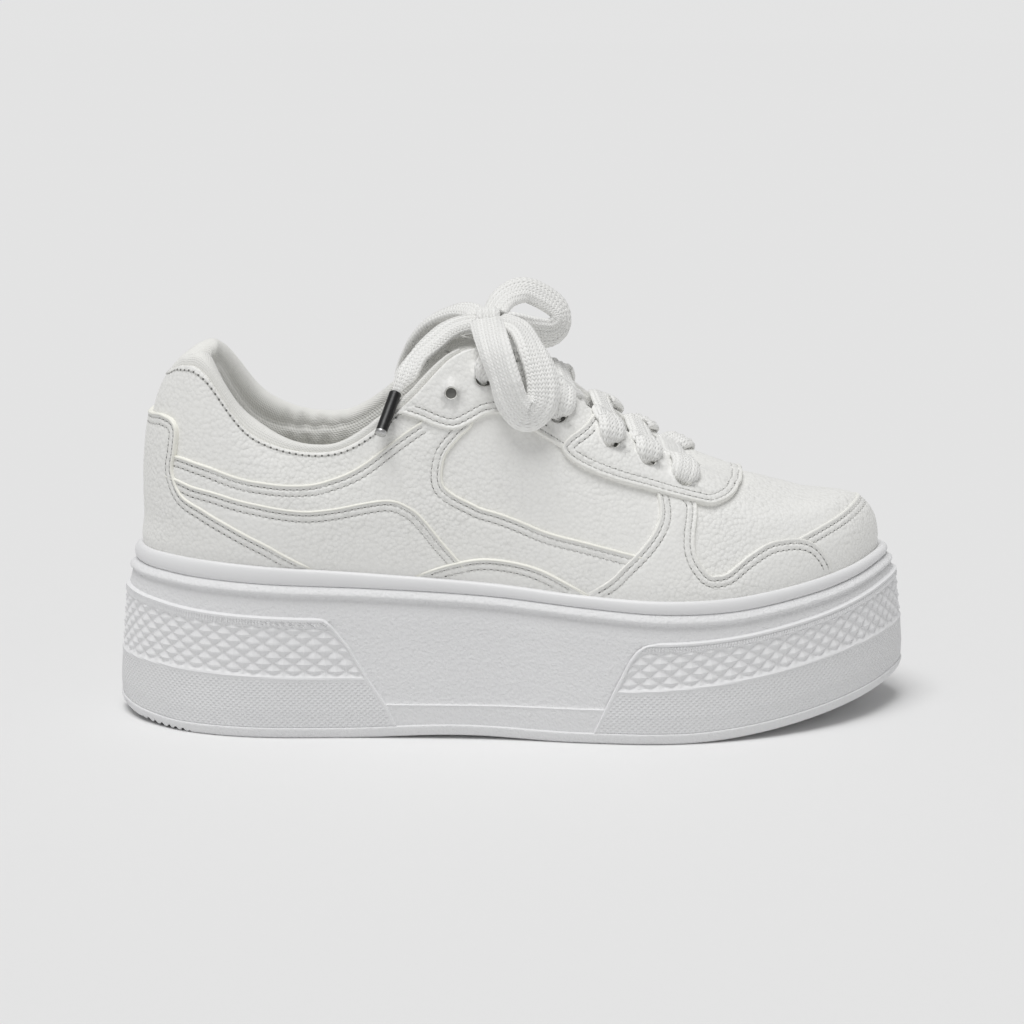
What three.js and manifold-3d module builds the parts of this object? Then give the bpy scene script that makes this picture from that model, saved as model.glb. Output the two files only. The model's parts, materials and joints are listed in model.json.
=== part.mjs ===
// A platform sneaker for the right foot, about EU 39, built as a maker would put it together:
// outsole, cup-shaped midsole with two raised side panels and a rolled welt, insole, one hollow
// leather upper with its overlays, padded collar, tongue, and a flat lace with knot, loops and ends.
//
// Frame, in millimetres: +X towards the toe, -Y the outer (lateral) side, +Z up. The origin is on
// the ground in the middle of the sole's length and width.

import * as THREE from "three";
import { mergeVertices } from "three/addons/utils/BufferGeometryUtils.js";
import Module from "manifold-3d";

const wasm = await Module();
wasm.setup();

// ---------------------------------------------------------------- driving dimensions

const GAP = 0.3; // clearance between two pieces that are glued or stitched together
const CENTRE_Y = 1.5; // middle line of the throat, off the line that the outline is drawn from

const OUTSOLE_THICK = 3.8;
const OUTSOLE_BEVEL = 1.2;
const WALL_WIDEST = 10; // height above the ground where the sole is widest
const LIP_HEIGHT = 1.6;
const TOE_SPRING = 11; // lift of the sole at the tip of the toe
const TOE_SPRING_FROM = 58;
const TOE_SPRING_POWER = 1.6;
const HEEL_BEVEL = 2.6;
const HEEL_BEVEL_FROM = -114;
const ARCH_LIFT = 1.3;
const ARCH_FROM = -62;
const ARCH_TO = 22;
const TIP = 140;
const FOOTBED_DEPTH = 13; // from the rim of the sole down to the floor of the cup
const INSOLE_THICK = 4;
const UPPER_WALL = 2.2; // leather, backing and lining
const OVERLAY_THICK = 1.3; // second layer of leather stitched on the upper
const OVERLAY_FOOT = 0.02; // an overlay stops this share of a rib above the rim
const BLOCK_OVERHANG = 3;
const PANEL_THICK = 1; // moulded side panels on the midsole

// Where the columns of a side panel stand along its slanted edge, in rows of the outline.
const HEEL_PANEL_ENDS = [4.55, 4.7, 4.85, 5, 5.12, 5.24];
const TOE_PANEL_ENDS = [7.12, 7.28, 7.45, 7.65, 7.85];

// Main lugs: the grooves between them run across the tread and stop short of its sides.
const GROOVE_WIDTH = 3;
const GROOVE_DEPTH = 1.6;
const GROOVES = [
  { x: -121, from: -21, to: 20 },
  { x: -109, from: -27, to: 26 },
  { x: -73, from: -33, to: 30 },
  { x: -61, from: -33, to: 30 },
  { x: 18, from: -37, to: 32 },
  { x: 60, from: -39, to: 43 },
  { x: 72, from: -37, to: 43 },
  { x: 84, from: -33, to: 42 },
  { x: 96, from: -28, to: 40 },
  { x: 108, from: -22, to: 36 },
  { x: 120, from: -12, to: 30 },
];

const LACE_WIDTH = 7.6;
const LACE_THICK = 2.8;
const EYELET_RADIUS = 2.2;

// Insets from the sole's widest outline, as they are at the back of the heel and the tip of the
// toe. Along the sides they shrink to SIDE_SHARE of that.
const SIDE_SHARE = 0.66;
const INSET = {
  ground: 3.2,
  outsoleEdge: 1.6,
  outsoleTop: 1,
  wallFoot: 1.2,
  wallLow: 1,
  wallBand: 1.8,
  wallPanel: 4,
  lipFoot: 6.4,
  lip: 5.9,
  beadFoot: 8.4,
  bead: 7.5,
  beadTop: 9.6,
  upper: 11.6,
};

// Steps of the meshes.
const OUTLINE_STEPS = 2; // between two rows of the outline
const RIB_STEPS = 2; // between two rows of the upper
const RINGS = 8; // from the rim to the top edge of the upper
const PANEL_SHARES = [0, 0.2, 0.5, 1]; // of a side panel's height
const STRIP_SIDES = 6;
const CORD_SIDES = 8;
const CORD_STEP = 7;

// The sole's widest outline, from heel to toe: lateral and medial point of each row.
const OUTLINE = [
  { lx: -142.8, ly: 0, mx: -142.8, my: 0 },
  { lx: -139, ly: -12.5, mx: -139.5, my: 12 },
  { lx: -130, ly: -24, mx: -131, my: 23.5 },
  { lx: -113, ly: -35.8, mx: -114, my: 34.5 },
  { lx: -88, ly: -42.3, mx: -90, my: 40 },
  { lx: -50, ly: -42.6, mx: -50, my: 39 },
  { lx: -8, ly: -44, mx: -8, my: 39 },
  { lx: 25, ly: -48.6, mx: 27, my: 45.5 },
  { lx: 51, ly: -50.5, mx: 57, my: 52.3 },
  { lx: 76, ly: -46.6, mx: 83, my: 53.5 },
  { lx: 99, ly: -37.5, mx: 106, my: 50.5 },
  { lx: 119, ly: -24.5, mx: 124, my: 43 },
  { lx: 134.5, ly: -8, mx: 137.5, my: 31 },
  { lx: 144.3, ly: 13, mx: 144.3, my: 13 },
];

// Heights along the sole: line between the two textures, top of the side panels, lip, foot of the
// bead and rim.
const LEVELS = [
  { x: -143, band: 23.5, panel: 47.5, lip: 54.6, bead: 56.4, rim: 62 },
  { x: -110, band: 23, panel: 44.4, lip: 53.4, bead: 55.2, rim: 61.6 },
  { x: -80, band: 21.8, panel: 43, lip: 52, bead: 53.8, rim: 59.9 },
  { x: -45, band: 21.5, panel: 42, lip: 50.6, bead: 52.4, rim: 57.6 },
  { x: -8, band: 20, panel: 39.8, lip: 48.4, bead: 50.2, rim: 54.8 },
  { x: 25, band: 18.8, panel: 37, lip: 45.3, bead: 47.1, rim: 51.4 },
  { x: 50, band: 19.3, panel: 35.8, lip: 43.4, bead: 45.2, rim: 49.8 },
  { x: 75, band: 21.3, panel: 36.8, lip: 43.3, bead: 45.1, rim: 49.8 },
  { x: 98, band: 24.4, panel: 39.6, lip: 45.6, bead: 47.4, rim: 52 },
  { x: 118, band: 27.7, panel: 43.2, lip: 48.6, bead: 50.4, rim: 54.8 },
  { x: 133, band: 30, panel: 47, lip: 52, bead: 53.8, rim: 57.4 },
  { x: 145, band: 31.8, panel: 50, lip: 54.6, bead: 56.4, rim: 59.4 },
];

// Ribs of the upper, from the heel over the outer side to the toe. "at" is the rib's foot, in rows
// of the outline. x, mid, half and z give its top on the edge of the collar and throat: half the
// opening's width about its middle. lift is how much higher the inner side's collar is. lean, reach
// and shoulder place the corner that the rib bends round, power is how square that bend is, and sag
// is how far the vamp dips behind the toe box.
const RIBS = [
  { at: 0, x: -122.5, mid: 0, half: 0, z: 124, lift: 0, lean: 2.4, reach: 0, shoulder: 108, power: 2.5, sag: 0 },
  { at: 1, x: -121, mid: 0, half: 10, z: 125.2, lift: 0, lean: 2.4, reach: 0, shoulder: 108, power: 2.5, sag: 0 },
  { at: 2, x: -115.5, mid: 0, half: 18, z: 127.3, lift: 0, lean: 2.4, reach: 0, shoulder: 106, power: 2.4, sag: 0 },
  { at: 3, x: -106, mid: 0, half: 24, z: 124.6, lift: 0, lean: 2.4, reach: 0, shoulder: 100, power: 2.3, sag: 0 },
  { at: 4, x: -88.5, mid: 0, half: 28.5, z: 103.8, lift: 1.2, lean: 2.6, reach: 0.05, shoulder: 86, power: 2.2, sag: 0 },
  { at: 4.9, x: -61, mid: -0.5, half: 30, z: 99.2, lift: 2.5, lean: 2.6, reach: 0.1, shoulder: 82, power: 2.1, sag: 0 },
  { at: 5.8, x: -37.5, mid: -0.5, half: 28, z: 114.2, lift: 1.5, lean: 2.4, reach: 0.15, shoulder: 88, power: 2, sag: 0 },
  { at: 6.5, x: -19, mid: 0, half: 24.5, z: 131.8, lift: 0.5, lean: 2, reach: 0.18, shoulder: 92, power: 2, sag: 0 },
  { at: 7.1, x: -4, mid: 0, half: 20.5, z: 132.2, lift: 0, lean: 1.5, reach: 0.2, shoulder: 92, power: 2, sag: 0 },
  { at: 7.8, x: 14, mid: 0.5, half: 18.5, z: 121, lift: 0, lean: 1, reach: 0.22, shoulder: 90, power: 2, sag: 0 },
  { at: 8.8, x: 35, mid: 1, half: 17, z: 105.2, lift: 0, lean: 0.8, reach: 0.2, shoulder: 85, power: 2, sag: 0.5 },
  { at: 9.8, x: 52.5, mid: 1.5, half: 15, z: 94.4, lift: 0, lean: 0.6, reach: 0.12, shoulder: 80.5, power: 2.2, sag: 1.4 },
  { at: 11, x: 62.5, mid: 2, half: 10, z: 88.8, lift: 0, lean: 0.4, reach: 0.06, shoulder: 79.6, power: 2.7, sag: 2.4 },
  { at: 12, x: 66, mid: 2, half: 5, z: 87.2, lift: 0, lean: 0.2, reach: 0.03, shoulder: 80.8, power: 3.2, sag: 3 },
  { at: 13, x: 67, mid: 2, half: 0, z: 86.8, lift: 0, lean: 0.2, reach: 0.02, shoulder: 81.6, power: 3.5, sag: 3 },
];
const LAST_RIB = RIBS.length - 1;
const LAST_ROW = OUTLINE.length - 1;

// Eyelets of the outer side, from the toe up, as places on the upper: rib, and share of the way
// from the rim to the edge. The lace comes to each one over the edge at the rib "over". The last
// one is the spare hole, which the lace leaves empty.
const EYELETS = [
  { u: 10.65, v: 0.72, over: 11.4 },
  { u: 10.2, v: 0.78, over: 10.6 },
  { u: 9.48, v: 0.77, over: 9.8 },
  { u: 8.58, v: 0.77, over: 9.1 },
  { u: 7.93, v: 0.82, over: 8.5 },
  { u: 7.29, v: 0.872, over: 7.95 },
  { u: 6.64, v: 0.88, over: 6.9 },
];
const LACED = EYELETS.length - 1;

// Overlays. Each row runs across one from its outer edge, at u and v, to its inner edge.
const EYESTAY_FRONT = [
  { u: 8.4, v: 0.6, innerU: 9.75, innerV: 1.05 },
  { u: 8.8, v: 0.545, innerU: 10, innerV: 1.05 },
  { u: 9.25, v: 0.537, innerU: 10.3, innerV: 1.05 },
  { u: 9.7, v: 0.545, innerU: 10.6, innerV: 1.05 },
  { u: 10.1, v: 0.547, innerU: 10.9, innerV: 1.05 },
  { u: 10.45, v: 0.548, innerU: 11.2, innerV: 1.05 },
  { u: 10.75, v: 0.56, innerU: 11.5, innerV: 1.05 },
  { u: 11.15, v: 0.655, innerU: 11.9, innerV: 1.05 },
  { u: 11.55, v: 0.76, innerU: 12.4, innerV: 1.05 },
  { u: 12, v: 0.86, innerU: 12.8, innerV: 1.05 },
  { u: 12.8, v: 0.925, innerU: 13.3, innerV: 1.05 },
  { u: 14, v: 0.945, innerU: 14, innerV: 1.05 },
];
const EYESTAY_REAR = [
  { u: 6, v: 0.97, innerU: 6, innerV: 1.05 },
  { u: 6.1, v: 0.89, innerU: 6.15, innerV: 1.05 },
  { u: 6.25, v: 0.8, innerU: 6.4, innerV: 1.05 },
  { u: 6.4, v: 0.75, innerU: 6.7, innerV: 1.05 },
  { u: 6.6, v: 0.731, innerU: 7.1, innerV: 1.05 },
  { u: 6.85, v: 0.729, innerU: 7.5, innerV: 1.05 },
  { u: 7.1, v: 0.73, innerU: 8, innerV: 1.05 },
  { u: 7.5, v: 0.705, innerU: 8.6, innerV: 1.05 },
  { u: 7.85, v: 0.657, innerU: 9.1, innerV: 1.05 },
  { u: 8.3, v: 0.613, innerU: 9.65, innerV: 1.05 },
];
const HEEL_COUNTER = [
  { u: 0, v: 0.66, innerU: 0, innerV: -0.05 },
  { u: 1.2, v: 0.66, innerU: 1.2, innerV: -0.05 },
  { u: 2.1, v: 0.66, innerU: 2, innerV: -0.05 },
  { u: 2.4, v: 0.64, innerU: 2.2, innerV: -0.05 },
  { u: 2.52, v: 0.58, innerU: 2.3, innerV: -0.05 },
  { u: 2.48, v: 0.46, innerU: 2.4, innerV: -0.05 },
  { u: 2.5, v: 0.35, innerU: 2.55, innerV: -0.05 },
  { u: 2.8, v: 0.28, innerU: 2.8, innerV: -0.05 },
  { u: 3.2, v: 0.26, innerU: 3.2, innerV: -0.05 },
  { u: 3.7, v: 0.232, innerU: 3.7, innerV: -0.05 },
  { u: 4.05, v: 0.18, innerU: 4.05, innerV: -0.05 },
  { u: 4.3, v: 0.11, innerU: 4.3, innerV: -0.05 },
  { u: 4.5, v: 0.04, innerU: 4.5, innerV: -0.05 },
];
const TOE_CAP = [
  { u: 11.78, v: 0.05, innerU: 11.85, innerV: -0.05 },
  { u: 11.7, v: 0.14, innerU: 11.95, innerV: -0.05 },
  { u: 11.6, v: 0.23, innerU: 12.1, innerV: -0.05 },
  { u: 11.75, v: 0.272, innerU: 12.25, innerV: -0.05 },
  { u: 12.2, v: 0.303, innerU: 12.5, innerV: -0.05 },
  { u: 13, v: 0.334, innerU: 13, innerV: -0.05 },
  { u: 13.6, v: 0.355, innerU: 13.6, innerV: -0.05 },
  { u: 14, v: 0.362, innerU: 14, innerV: -0.05 },
];

// Slanted front edge of the heel panel and rear edge of the toe panel, as height over x.
const HEEL_PANEL_EDGE = [
  { x: -67, z: 42.6 },
  { x: -62, z: 39.6 },
  { x: -56, z: 32.6 },
  { x: -49.5, z: 21.5 },
  { x: -43, z: 11.5 },
  { x: -40.5, z: 6 },
];
const TOE_PANEL_EDGE = [
  { x: 28.5, z: 6 },
  { x: 34.6, z: 18.9 },
  { x: 39.8, z: 29.5 },
  { x: 45, z: 34.2 },
  { x: 51, z: 36.2 },
];

// Tongue: top of its middle, half its width, and how far its edges lie below the middle.
const TONGUE_THICK = 5;
const TONGUE_EDGE = 1.6;
const TONGUE = [
  { x: 74, z: 80.5, half: 9, drop: 1.5 },
  { x: 60, z: 86, half: 14, drop: 3.5 },
  { x: 45, z: 97, half: 20, drop: 9 },
  { x: 28, z: 108.2, half: 22, drop: 10.5 },
  { x: 12, z: 119.5, half: 23, drop: 10.5 },
  { x: -3, z: 129, half: 21, drop: 8.5 },
  { x: -13, z: 133.2, half: 15.5, drop: 4.8 },
  { x: -22, z: 135.6, half: 12, drop: 3.6 },
];

// Padded collar, from the heel forwards: its thickness, how far it stands over the leather's edge,
// and how far down the inside of the upper it starts.
const PAD = [
  { u: 0, thick: 8, rise: 4, low: 0.625 },
  { u: 2, thick: 8, rise: 4.2, low: 0.625 },
  { u: 3, thick: 8, rise: 5.6, low: 0.625 },
  { u: 3.5, thick: 8, rise: 8, low: 0.625 },
  { u: 4, thick: 8, rise: 8, low: 0.625 },
  { u: 4.5, thick: 8, rise: 5, low: 0.625 },
  { u: 5, thick: 7.5, rise: 3.7, low: 0.625 },
  { u: 6, thick: 4.4, rise: 3.6, low: 0.7 },
  { u: 6.5, thick: 2.2, rise: 2.4, low: 0.8 },
  { u: 7, thick: 1.6, rise: 1.4, low: 0.88 },
];
const PAD_END = 14; // steps of the upper's mesh from the heel to the pad's end

// The bow: its knot, and the middle line of each loop and end.
const KNOT = { x: -9, y: -4, z: 140, rx: 7, ry: 6.8, rz: 4.8 };
const LOOP_LATERAL = [
  [-5, -8, 141],
  [2, -18, 140],
  [6.8, -28.5, 134],
  [10.2, -34, 125],
  [10, -36.5, 117],
  [5, -38, 112.8],
  [0.2, -38.5, 117.5],
  [-2.6, -38, 126],
  [-6, -33.5, 135.5],
  [-9, -19, 142.5],
];
const LOOP_MEDIAL = [
  [-6.5, -0.5, 143],
  [-2.5, 5, 148],
  [4, 10, 150.2],
  [11, 12.5, 147.5],
  [16.5, 13.5, 143],
  [17.2, 12.5, 137.8],
  [13, 10, 134.8],
  [6, 5.5, 136.4],
  [-0.5, 1.5, 138.8],
  [-5, -1, 139.5],
];
const END_LATERAL = [
  [-12, -4.5, 140.2],
  [-17.5, -7, 139.9],
  [-22.5, -10, 138.2],
  [-27.5, -14.5, 134.6],
  [-32.6, -19, 130],
  [-36.4, -23, 124.8],
  [-39.6, -27, 119.9],
];
const END_MEDIAL = [
  [-11.5, -1, 141.5],
  [-14.5, 4, 143.2],
  [-20.5, 10, 142.4],
  [-28.2, 16, 138],
  [-33.6, 21.5, 131.6],
  [-37, 27.2, 125.2],
  [-39.5, 33, 118.6],
  [-41, 36.4, 110.5],
  [-41.8, 38, 104],
];
const AGLET_LATERAL = { from: [-40.1, -27.8, 119], to: [-45, -38, 106.3] };
const AGLET_MEDIAL = { from: [-41.9, 38.2, 103.2], to: [-43, 39.6, 87] };
const AGLET_RADIUS = 2;
const CORD_WIDTH = 6.5; // of the puffed lace in its loops and ends
const CORD_THICK = 3.6;

const COLOUR = {
  leather: 0xe9e9e6,
  rubber: 0xdcdce0,
  textile: 0xdad8d3,
  lace: 0xf2f1ec,
  aglet: 0x0c0c0c,
};

// ---------------------------------------------------------------- curves

// Uniform Catmull-Rom blend of four values.
function blend(a, b, c, d, t) {
  const t2 = t * t;
  const t3 = t2 * t;
  return 0.5 * (2 * b + (c - a) * t + (2 * a - 5 * b + 4 * c - d) * t2 + (3 * b - a - 3 * c + d) * t3);
}

// A column of rows that stand at unequal x, as a smooth curve.
function heightAt(key, x) {
  const rows = LEVELS;
  const at = Math.min(Math.max(x, rows[0].x), rows[rows.length - 1].x);
  let i = rows.findIndex((row) => row.x > at) - 1;
  if (i < 0) i = rows.length - 2;
  const slope = (k) => {
    const p = rows[Math.max(k - 1, 0)];
    const q = rows[Math.min(k + 1, rows.length - 1)];
    return (q[key] - p[key]) / (q.x - p.x);
  };
  const h = rows[i + 1].x - rows[i].x;
  const t = (at - rows[i].x) / h;
  const rise = rows[i + 1][key] - rows[i][key];
  const a = slope(i) * h - rise;
  const b = rise - slope(i + 1) * h;
  return rows[i][key] + rise * t + t * (1 - t) * (a * (1 - t) + b * t);
}

// Underside of the sole: bevelled heel, flat heel seat, arch, flat ball and toe spring.
function ground(x) {
  if (x < HEEL_BEVEL_FROM) return HEEL_BEVEL * ((x - HEEL_BEVEL_FROM) / (TIP + HEEL_BEVEL_FROM)) ** 2;
  if (x > TOE_SPRING_FROM) {
    return TOE_SPRING * ((x - TOE_SPRING_FROM) / (TIP - TOE_SPRING_FROM)) ** TOE_SPRING_POWER;
  }
  if (x < ARCH_FROM || x > ARCH_TO) return 0;
  return ARCH_LIFT * Math.sin((Math.PI * (x - ARCH_FROM)) / (ARCH_TO - ARCH_FROM)) ** 2;
}

function level(key) {
  return (x) => heightAt(key, x);
}

function raised(height, by) {
  return (x) => height(x) + by;
}

// Floor of the midsole's cup.
function footbed(x) {
  return heightAt("rim", x) - FOOTBED_DEPTH;
}

// The sole's widest outline: row 0 is the heel, LAST_ROW the toe, and past it the medial side
// comes back to the heel at 2 * LAST_ROW.
function outlineRow(i) {
  const n = 2 * LAST_ROW;
  const k = ((i % n) + n) % n;
  const row = OUTLINE[k <= LAST_ROW ? k : n - k];
  return k <= LAST_ROW ? [row.lx, row.ly] : [row.mx, row.my];
}

function outlinePoint(at) {
  const i = Math.floor(at);
  const p = [i - 1, i, i + 1, i + 2].map(outlineRow);
  return [0, 1].map((k) => blend(p[0][k], p[1][k], p[2][k], p[3][k], at - i));
}

// Outward normal of the outline in plan.
function outlineNormal(at) {
  const step = 0.05;
  const [ax, ay] = outlinePoint(at - step);
  const [bx, by] = outlinePoint(at + step);
  const length = Math.hypot(bx - ax, by - ay);
  return [(by - ay) / length, (ax - bx) / length];
}

// A point inset from the outline by a share that is smaller along the sides, and by a further
// distance that is the same all round, at the height that a function of x gives.
function solePoint(at, inset, further, height) {
  const [x, y] = outlinePoint(at);
  const [nx, ny] = outlineNormal(at);
  const d = inset * (SIDE_SHARE + (1 - SIDE_SHARE) * nx * nx) + further;
  const px = x - nx * d;
  return new THREE.Vector3(px, y - ny * d, height(px));
}

const COLUMNS = Object.keys(RIBS[0]);

// The rib table at u: 0 is the heel, LAST_RIB the toe, and past it the medial side comes back.
function ribRow(i, key) {
  const n = 2 * LAST_RIB;
  const turns = Math.floor(i / n);
  const k = i - turns * n;
  const medial = k > LAST_RIB;
  const row = RIBS[medial ? n - k : k];
  if (key === "at") return (medial ? 2 * LAST_ROW - row.at : row.at) + turns * 2 * LAST_ROW;
  if (key === "half") return medial ? row.half : -row.half;
  if (key === "lift") return medial ? row.lift : 0;
  return row[key];
}

function ribAt(u) {
  const i = Math.floor(u);
  const t = u - i;
  const rib = {};
  for (const key of COLUMNS) {
    rib[key] = blend(ribRow(i - 1, key), ribRow(i, key), ribRow(i + 1, key), ribRow(i + 2, key), t);
  }
  return rib;
}

// Outer surface of the upper: v is 0 at the sole's rim and 1 at the edge of the opening.
function upperPoint(u, v) {
  const rib = ribAt(u);
  const foot = solePoint(rib.at, INSET.upper, 0, level("rim"));
  const top = new THREE.Vector3(rib.x, rib.mid + rib.half, rib.z + rib.lift);
  const [nx, ny] = outlineNormal(rib.at);
  const corner = foot.clone().lerp(top, rib.reach);
  corner.x += nx * rib.lean;
  corner.y += ny * rib.lean;
  corner.z = rib.shoulder + rib.lift * 0.5;
  const angle = (Math.min(Math.max(v, 0), 1) * Math.PI) / 2;
  const fromFoot = 1 - Math.pow(Math.sin(angle), 2 / rib.power);
  const fromTop = 1 - Math.pow(Math.cos(angle), 2 / rib.power);
  const p = corner
    .clone()
    .addScaledVector(foot.clone().sub(corner), fromFoot)
    .addScaledVector(top.clone().sub(corner), fromTop);
  p.z -= rib.sag * Math.pow(Math.sin(Math.PI * Math.max(0, (v - 0.4) / 0.6)), 2);
  return p;
}

// Outward normal of the upper.
function upperNormal(u, v) {
  const low = Math.max(v - 0.02, 0.005);
  const high = Math.min(v + 0.02, 0.995);
  const along = upperPoint(u + 0.04, v).sub(upperPoint(u - 0.04, v));
  const up = upperPoint(u, high).sub(upperPoint(u, low));
  return along.cross(up).normalize();
}

function upperOffset(u, v, out) {
  return upperPoint(u, v).addScaledVector(upperNormal(u, v), out);
}

// ---------------------------------------------------------------- bodies

function geometryOf(points, triangles) {
  const geometry = new THREE.BufferGeometry();
  const flat = points.flatMap((p) => [p.x, p.y, p.z]);
  geometry.setAttribute("position", new THREE.Float32BufferAttribute(flat, 3));
  geometry.setIndex(triangles.flat());
  return mergeVertices(geometry, 1e-5);
}

// A closed body through rings of points that all have the same even number of points. An open
// stack gets a cap at each end, sewn across from side to side. A looped one joins up with itself.
// From the ring "turn" on, the stack comes back along the form it went up, and its squares are
// split along the same diagonals as those of the first part.
function ringBody(rings, looped = false, turn = rings.length) {
  const n = rings[0].length;
  const triangles = [];
  const spans = looped ? rings.length : rings.length - 1;
  for (let j = 0; j < spans; j++) {
    const low = j * n;
    const high = ((j + 1) % rings.length) * n;
    for (let i = 0; i < n; i++) {
      const next = (i + 1) % n;
      const [a, b, c, d] = [low + i, low + next, high + next, high + i];
      if (j < turn) triangles.push([a, b, c], [a, c, d]);
      else triangles.push([a, b, d], [b, c, d]);
    }
  }
  if (!looped) {
    const last = (rings.length - 1) * n;
    for (let k = 0; k < n / 2 - 1; k++) {
      const corners = [k, k + 1, n - 2 - k, n - 1 - k];
      const [e, f, g, h] = corners;
      triangles.push([f, e, g], [g, e, h]);
      const [a, b, c, d] = corners.map((corner) => last + corner);
      triangles.push([a, b, c], [a, c, d]);
    }
  }
  return facingOut(rings.flat(), triangles);
}

// Turns the triangles round if they face inwards.
function facingOut(points, triangles) {
  let volume = 0;
  for (const [a, b, c] of triangles) {
    volume += points[a].dot(points[b].clone().cross(points[c]));
  }
  return geometryOf(points, volume < 0 ? triangles.map(([a, b, c]) => [a, c, b]) : triangles);
}

function toSolid(geometry) {
  const bare = geometry.clone();
  bare.deleteAttribute("normal");
  bare.deleteAttribute("uv");
  const merged = mergeVertices(bare, 1e-5);
  const mesh = new wasm.Mesh({
    numProp: 3,
    vertProperties: new Float32Array(merged.attributes.position.array),
    triVerts: new Uint32Array(merged.index.array),
  });
  return new wasm.Manifold(mesh);
}

function fromSolid(solid) {
  const mesh = solid.getMesh();
  const geometry = new THREE.BufferGeometry();
  geometry.setAttribute("position", new THREE.BufferAttribute(mesh.vertProperties, 3));
  geometry.setIndex(new THREE.BufferAttribute(mesh.triVerts, 1));
  return geometry;
}

function cutAway(geometry, cutters) {
  let solid = toSolid(geometry);
  for (const cutter of cutters) solid = solid.subtract(toSolid(cutter));
  return fromSolid(solid);
}

// ---------------------------------------------------------------- sole

const SOLE_POINTS = 2 * LAST_ROW * OUTLINE_STEPS;

function soleRing(inset, further, height) {
  return Array.from({ length: SOLE_POINTS }, (_, i) => {
    return solePoint(i / OUTLINE_STEPS, inset, further, height);
  });
}

function outsole() {
  const base = ringBody([
    soleRing(INSET.ground, 0, ground),
    soleRing(INSET.outsoleEdge, 0, raised(ground, OUTSOLE_BEVEL)),
    soleRing(INSET.outsoleTop, 0, raised(ground, OUTSOLE_THICK)),
  ]);
  return cutAway(base, GROOVES.map(groove));
}

function groove({ x, from, to }) {
  const depth = 2 * OUTSOLE_THICK;
  const cutter = new THREE.BoxGeometry(GROOVE_WIDTH, to - from, depth);
  return cutter.translate(x, (from + to) / 2, ground(x) + GROOVE_DEPTH - depth / 2);
}

function midsole() {
  const wall = PANEL_THICK + GAP;
  const bottom = raised(ground, OUTSOLE_THICK + GAP);
  const rings = [
    soleRing(INSET.wallFoot, wall, bottom),
    soleRing(INSET.wallLow, wall, raised(ground, WALL_WIDEST)),
    soleRing(INSET.wallBand, wall, level("band")),
    soleRing(INSET.wallPanel, wall, level("panel")),
    soleRing(INSET.lipFoot, 0, raised(level("lip"), -LIP_HEIGHT)),
    soleRing(INSET.lip, 0, level("lip")),
    soleRing(INSET.beadFoot, 0, raised(level("bead"), -GAP)),
    soleRing(INSET.upper, -GAP, raised(level("bead"), -GAP)),
    soleRing(INSET.upper, -GAP, footbed),
  ];
  return ringBody(rings);
}

function welt() {
  const foot = level("bead");
  const rim = level("rim");
  const between = (share) => (x) => foot(x) + (rim(x) - foot(x)) * share;
  return ringBody([
    soleRing(INSET.beadFoot, 0, foot),
    soleRing(INSET.bead, 0, between(0.3)),
    soleRing(INSET.bead, 0, between(0.6)),
    soleRing(INSET.beadFoot, 0, between(0.88)),
    soleRing(INSET.beadTop, 0, rim),
    soleRing(INSET.upper, -GAP, between(0.86)),
    soleRing(INSET.upper, -GAP, foot),
  ], true);
}

function insole() {
  const clear = UPPER_WALL + GAP;
  return ringBody([
    soleRing(INSET.upper, clear, raised(footbed, GAP)),
    soleRing(INSET.upper, clear, raised(footbed, INSOLE_THICK)),
  ]);
}

// ---------------------------------------------------------------- upper

const UPPER_POINTS = 2 * LAST_RIB * RIB_STEPS;

function upperRing(pointAt) {
  return Array.from({ length: UPPER_POINTS }, (_, i) => pointAt(i / RIB_STEPS));
}

// Under the rim the upper stands straight in the cup of the midsole.
function upperFoot(u, inwards, height) {
  return solePoint(ribAt(u).at, INSET.upper, inwards, height);
}

function upper() {
  const outside = [upperRing((u) => upperFoot(u, 0, raised(footbed, GAP)))];
  const inside = [upperRing((u) => upperFoot(u, UPPER_WALL, raised(footbed, GAP)))];
  outside.push(upperRing((u) => upperFoot(u, 0, level("rim"))));
  inside.push(upperRing((u) => upperFoot(u, UPPER_WALL, level("rim"))));
  for (let j = 1; j < RINGS; j++) {
    const v = j / (RINGS - 1);
    outside.push(upperRing((u) => upperPoint(u, v)));
    inside.push(upperRing((u) => upperOffset(u, v, -UPPER_WALL)));
  }
  return ringBody([...outside, ...inside.reverse()], true, outside.length);
}

// ---------------------------------------------------------------- overlays and eyelets

// A body between two offsets of the upper's surface, in the upper's own steps.
function upperShell(near, far) {
  const rings = (out) => Array.from({ length: RINGS }, (_, j) => {
    const v = Math.max(j / (RINGS - 1), OVERLAY_FOOT);
    return upperRing((u) => upperOffset(u, v, out));
  });
  return ringBody([...rings(far), ...rings(near).reverse()], true, RINGS);
}

// Rows of an overlay continued on the inner side, as the mirror image about the toe or the heel.
function mirrored(rows, about) {
  const other = rows.map((row) => ({ ...row, u: 2 * about - row.u, innerU: 2 * about - row.innerU }));
  return other.reverse();
}

function withMirror(rows, about) {
  const other = mirrored(rows, about);
  return about === 0 ? [...other.slice(0, -1), ...rows] : [...rows, ...other.slice(1)];
}

// Thick block of the upper's surface, bounded by the rows of an overlay.
function patternBlock(rows) {
  const across = [0, 0.33, 0.67, 1];
  const line = (row, out) => across.map((share) => {
    const u = THREE.MathUtils.lerp(row.u, row.innerU, share);
    const v = THREE.MathUtils.lerp(row.v, row.innerV, share);
    return upperBeyond(u, v, out);
  });
  return ringBody(rows.map((row) => [...line(row, -3), ...line(row, 5).reverse()]));
}

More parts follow.
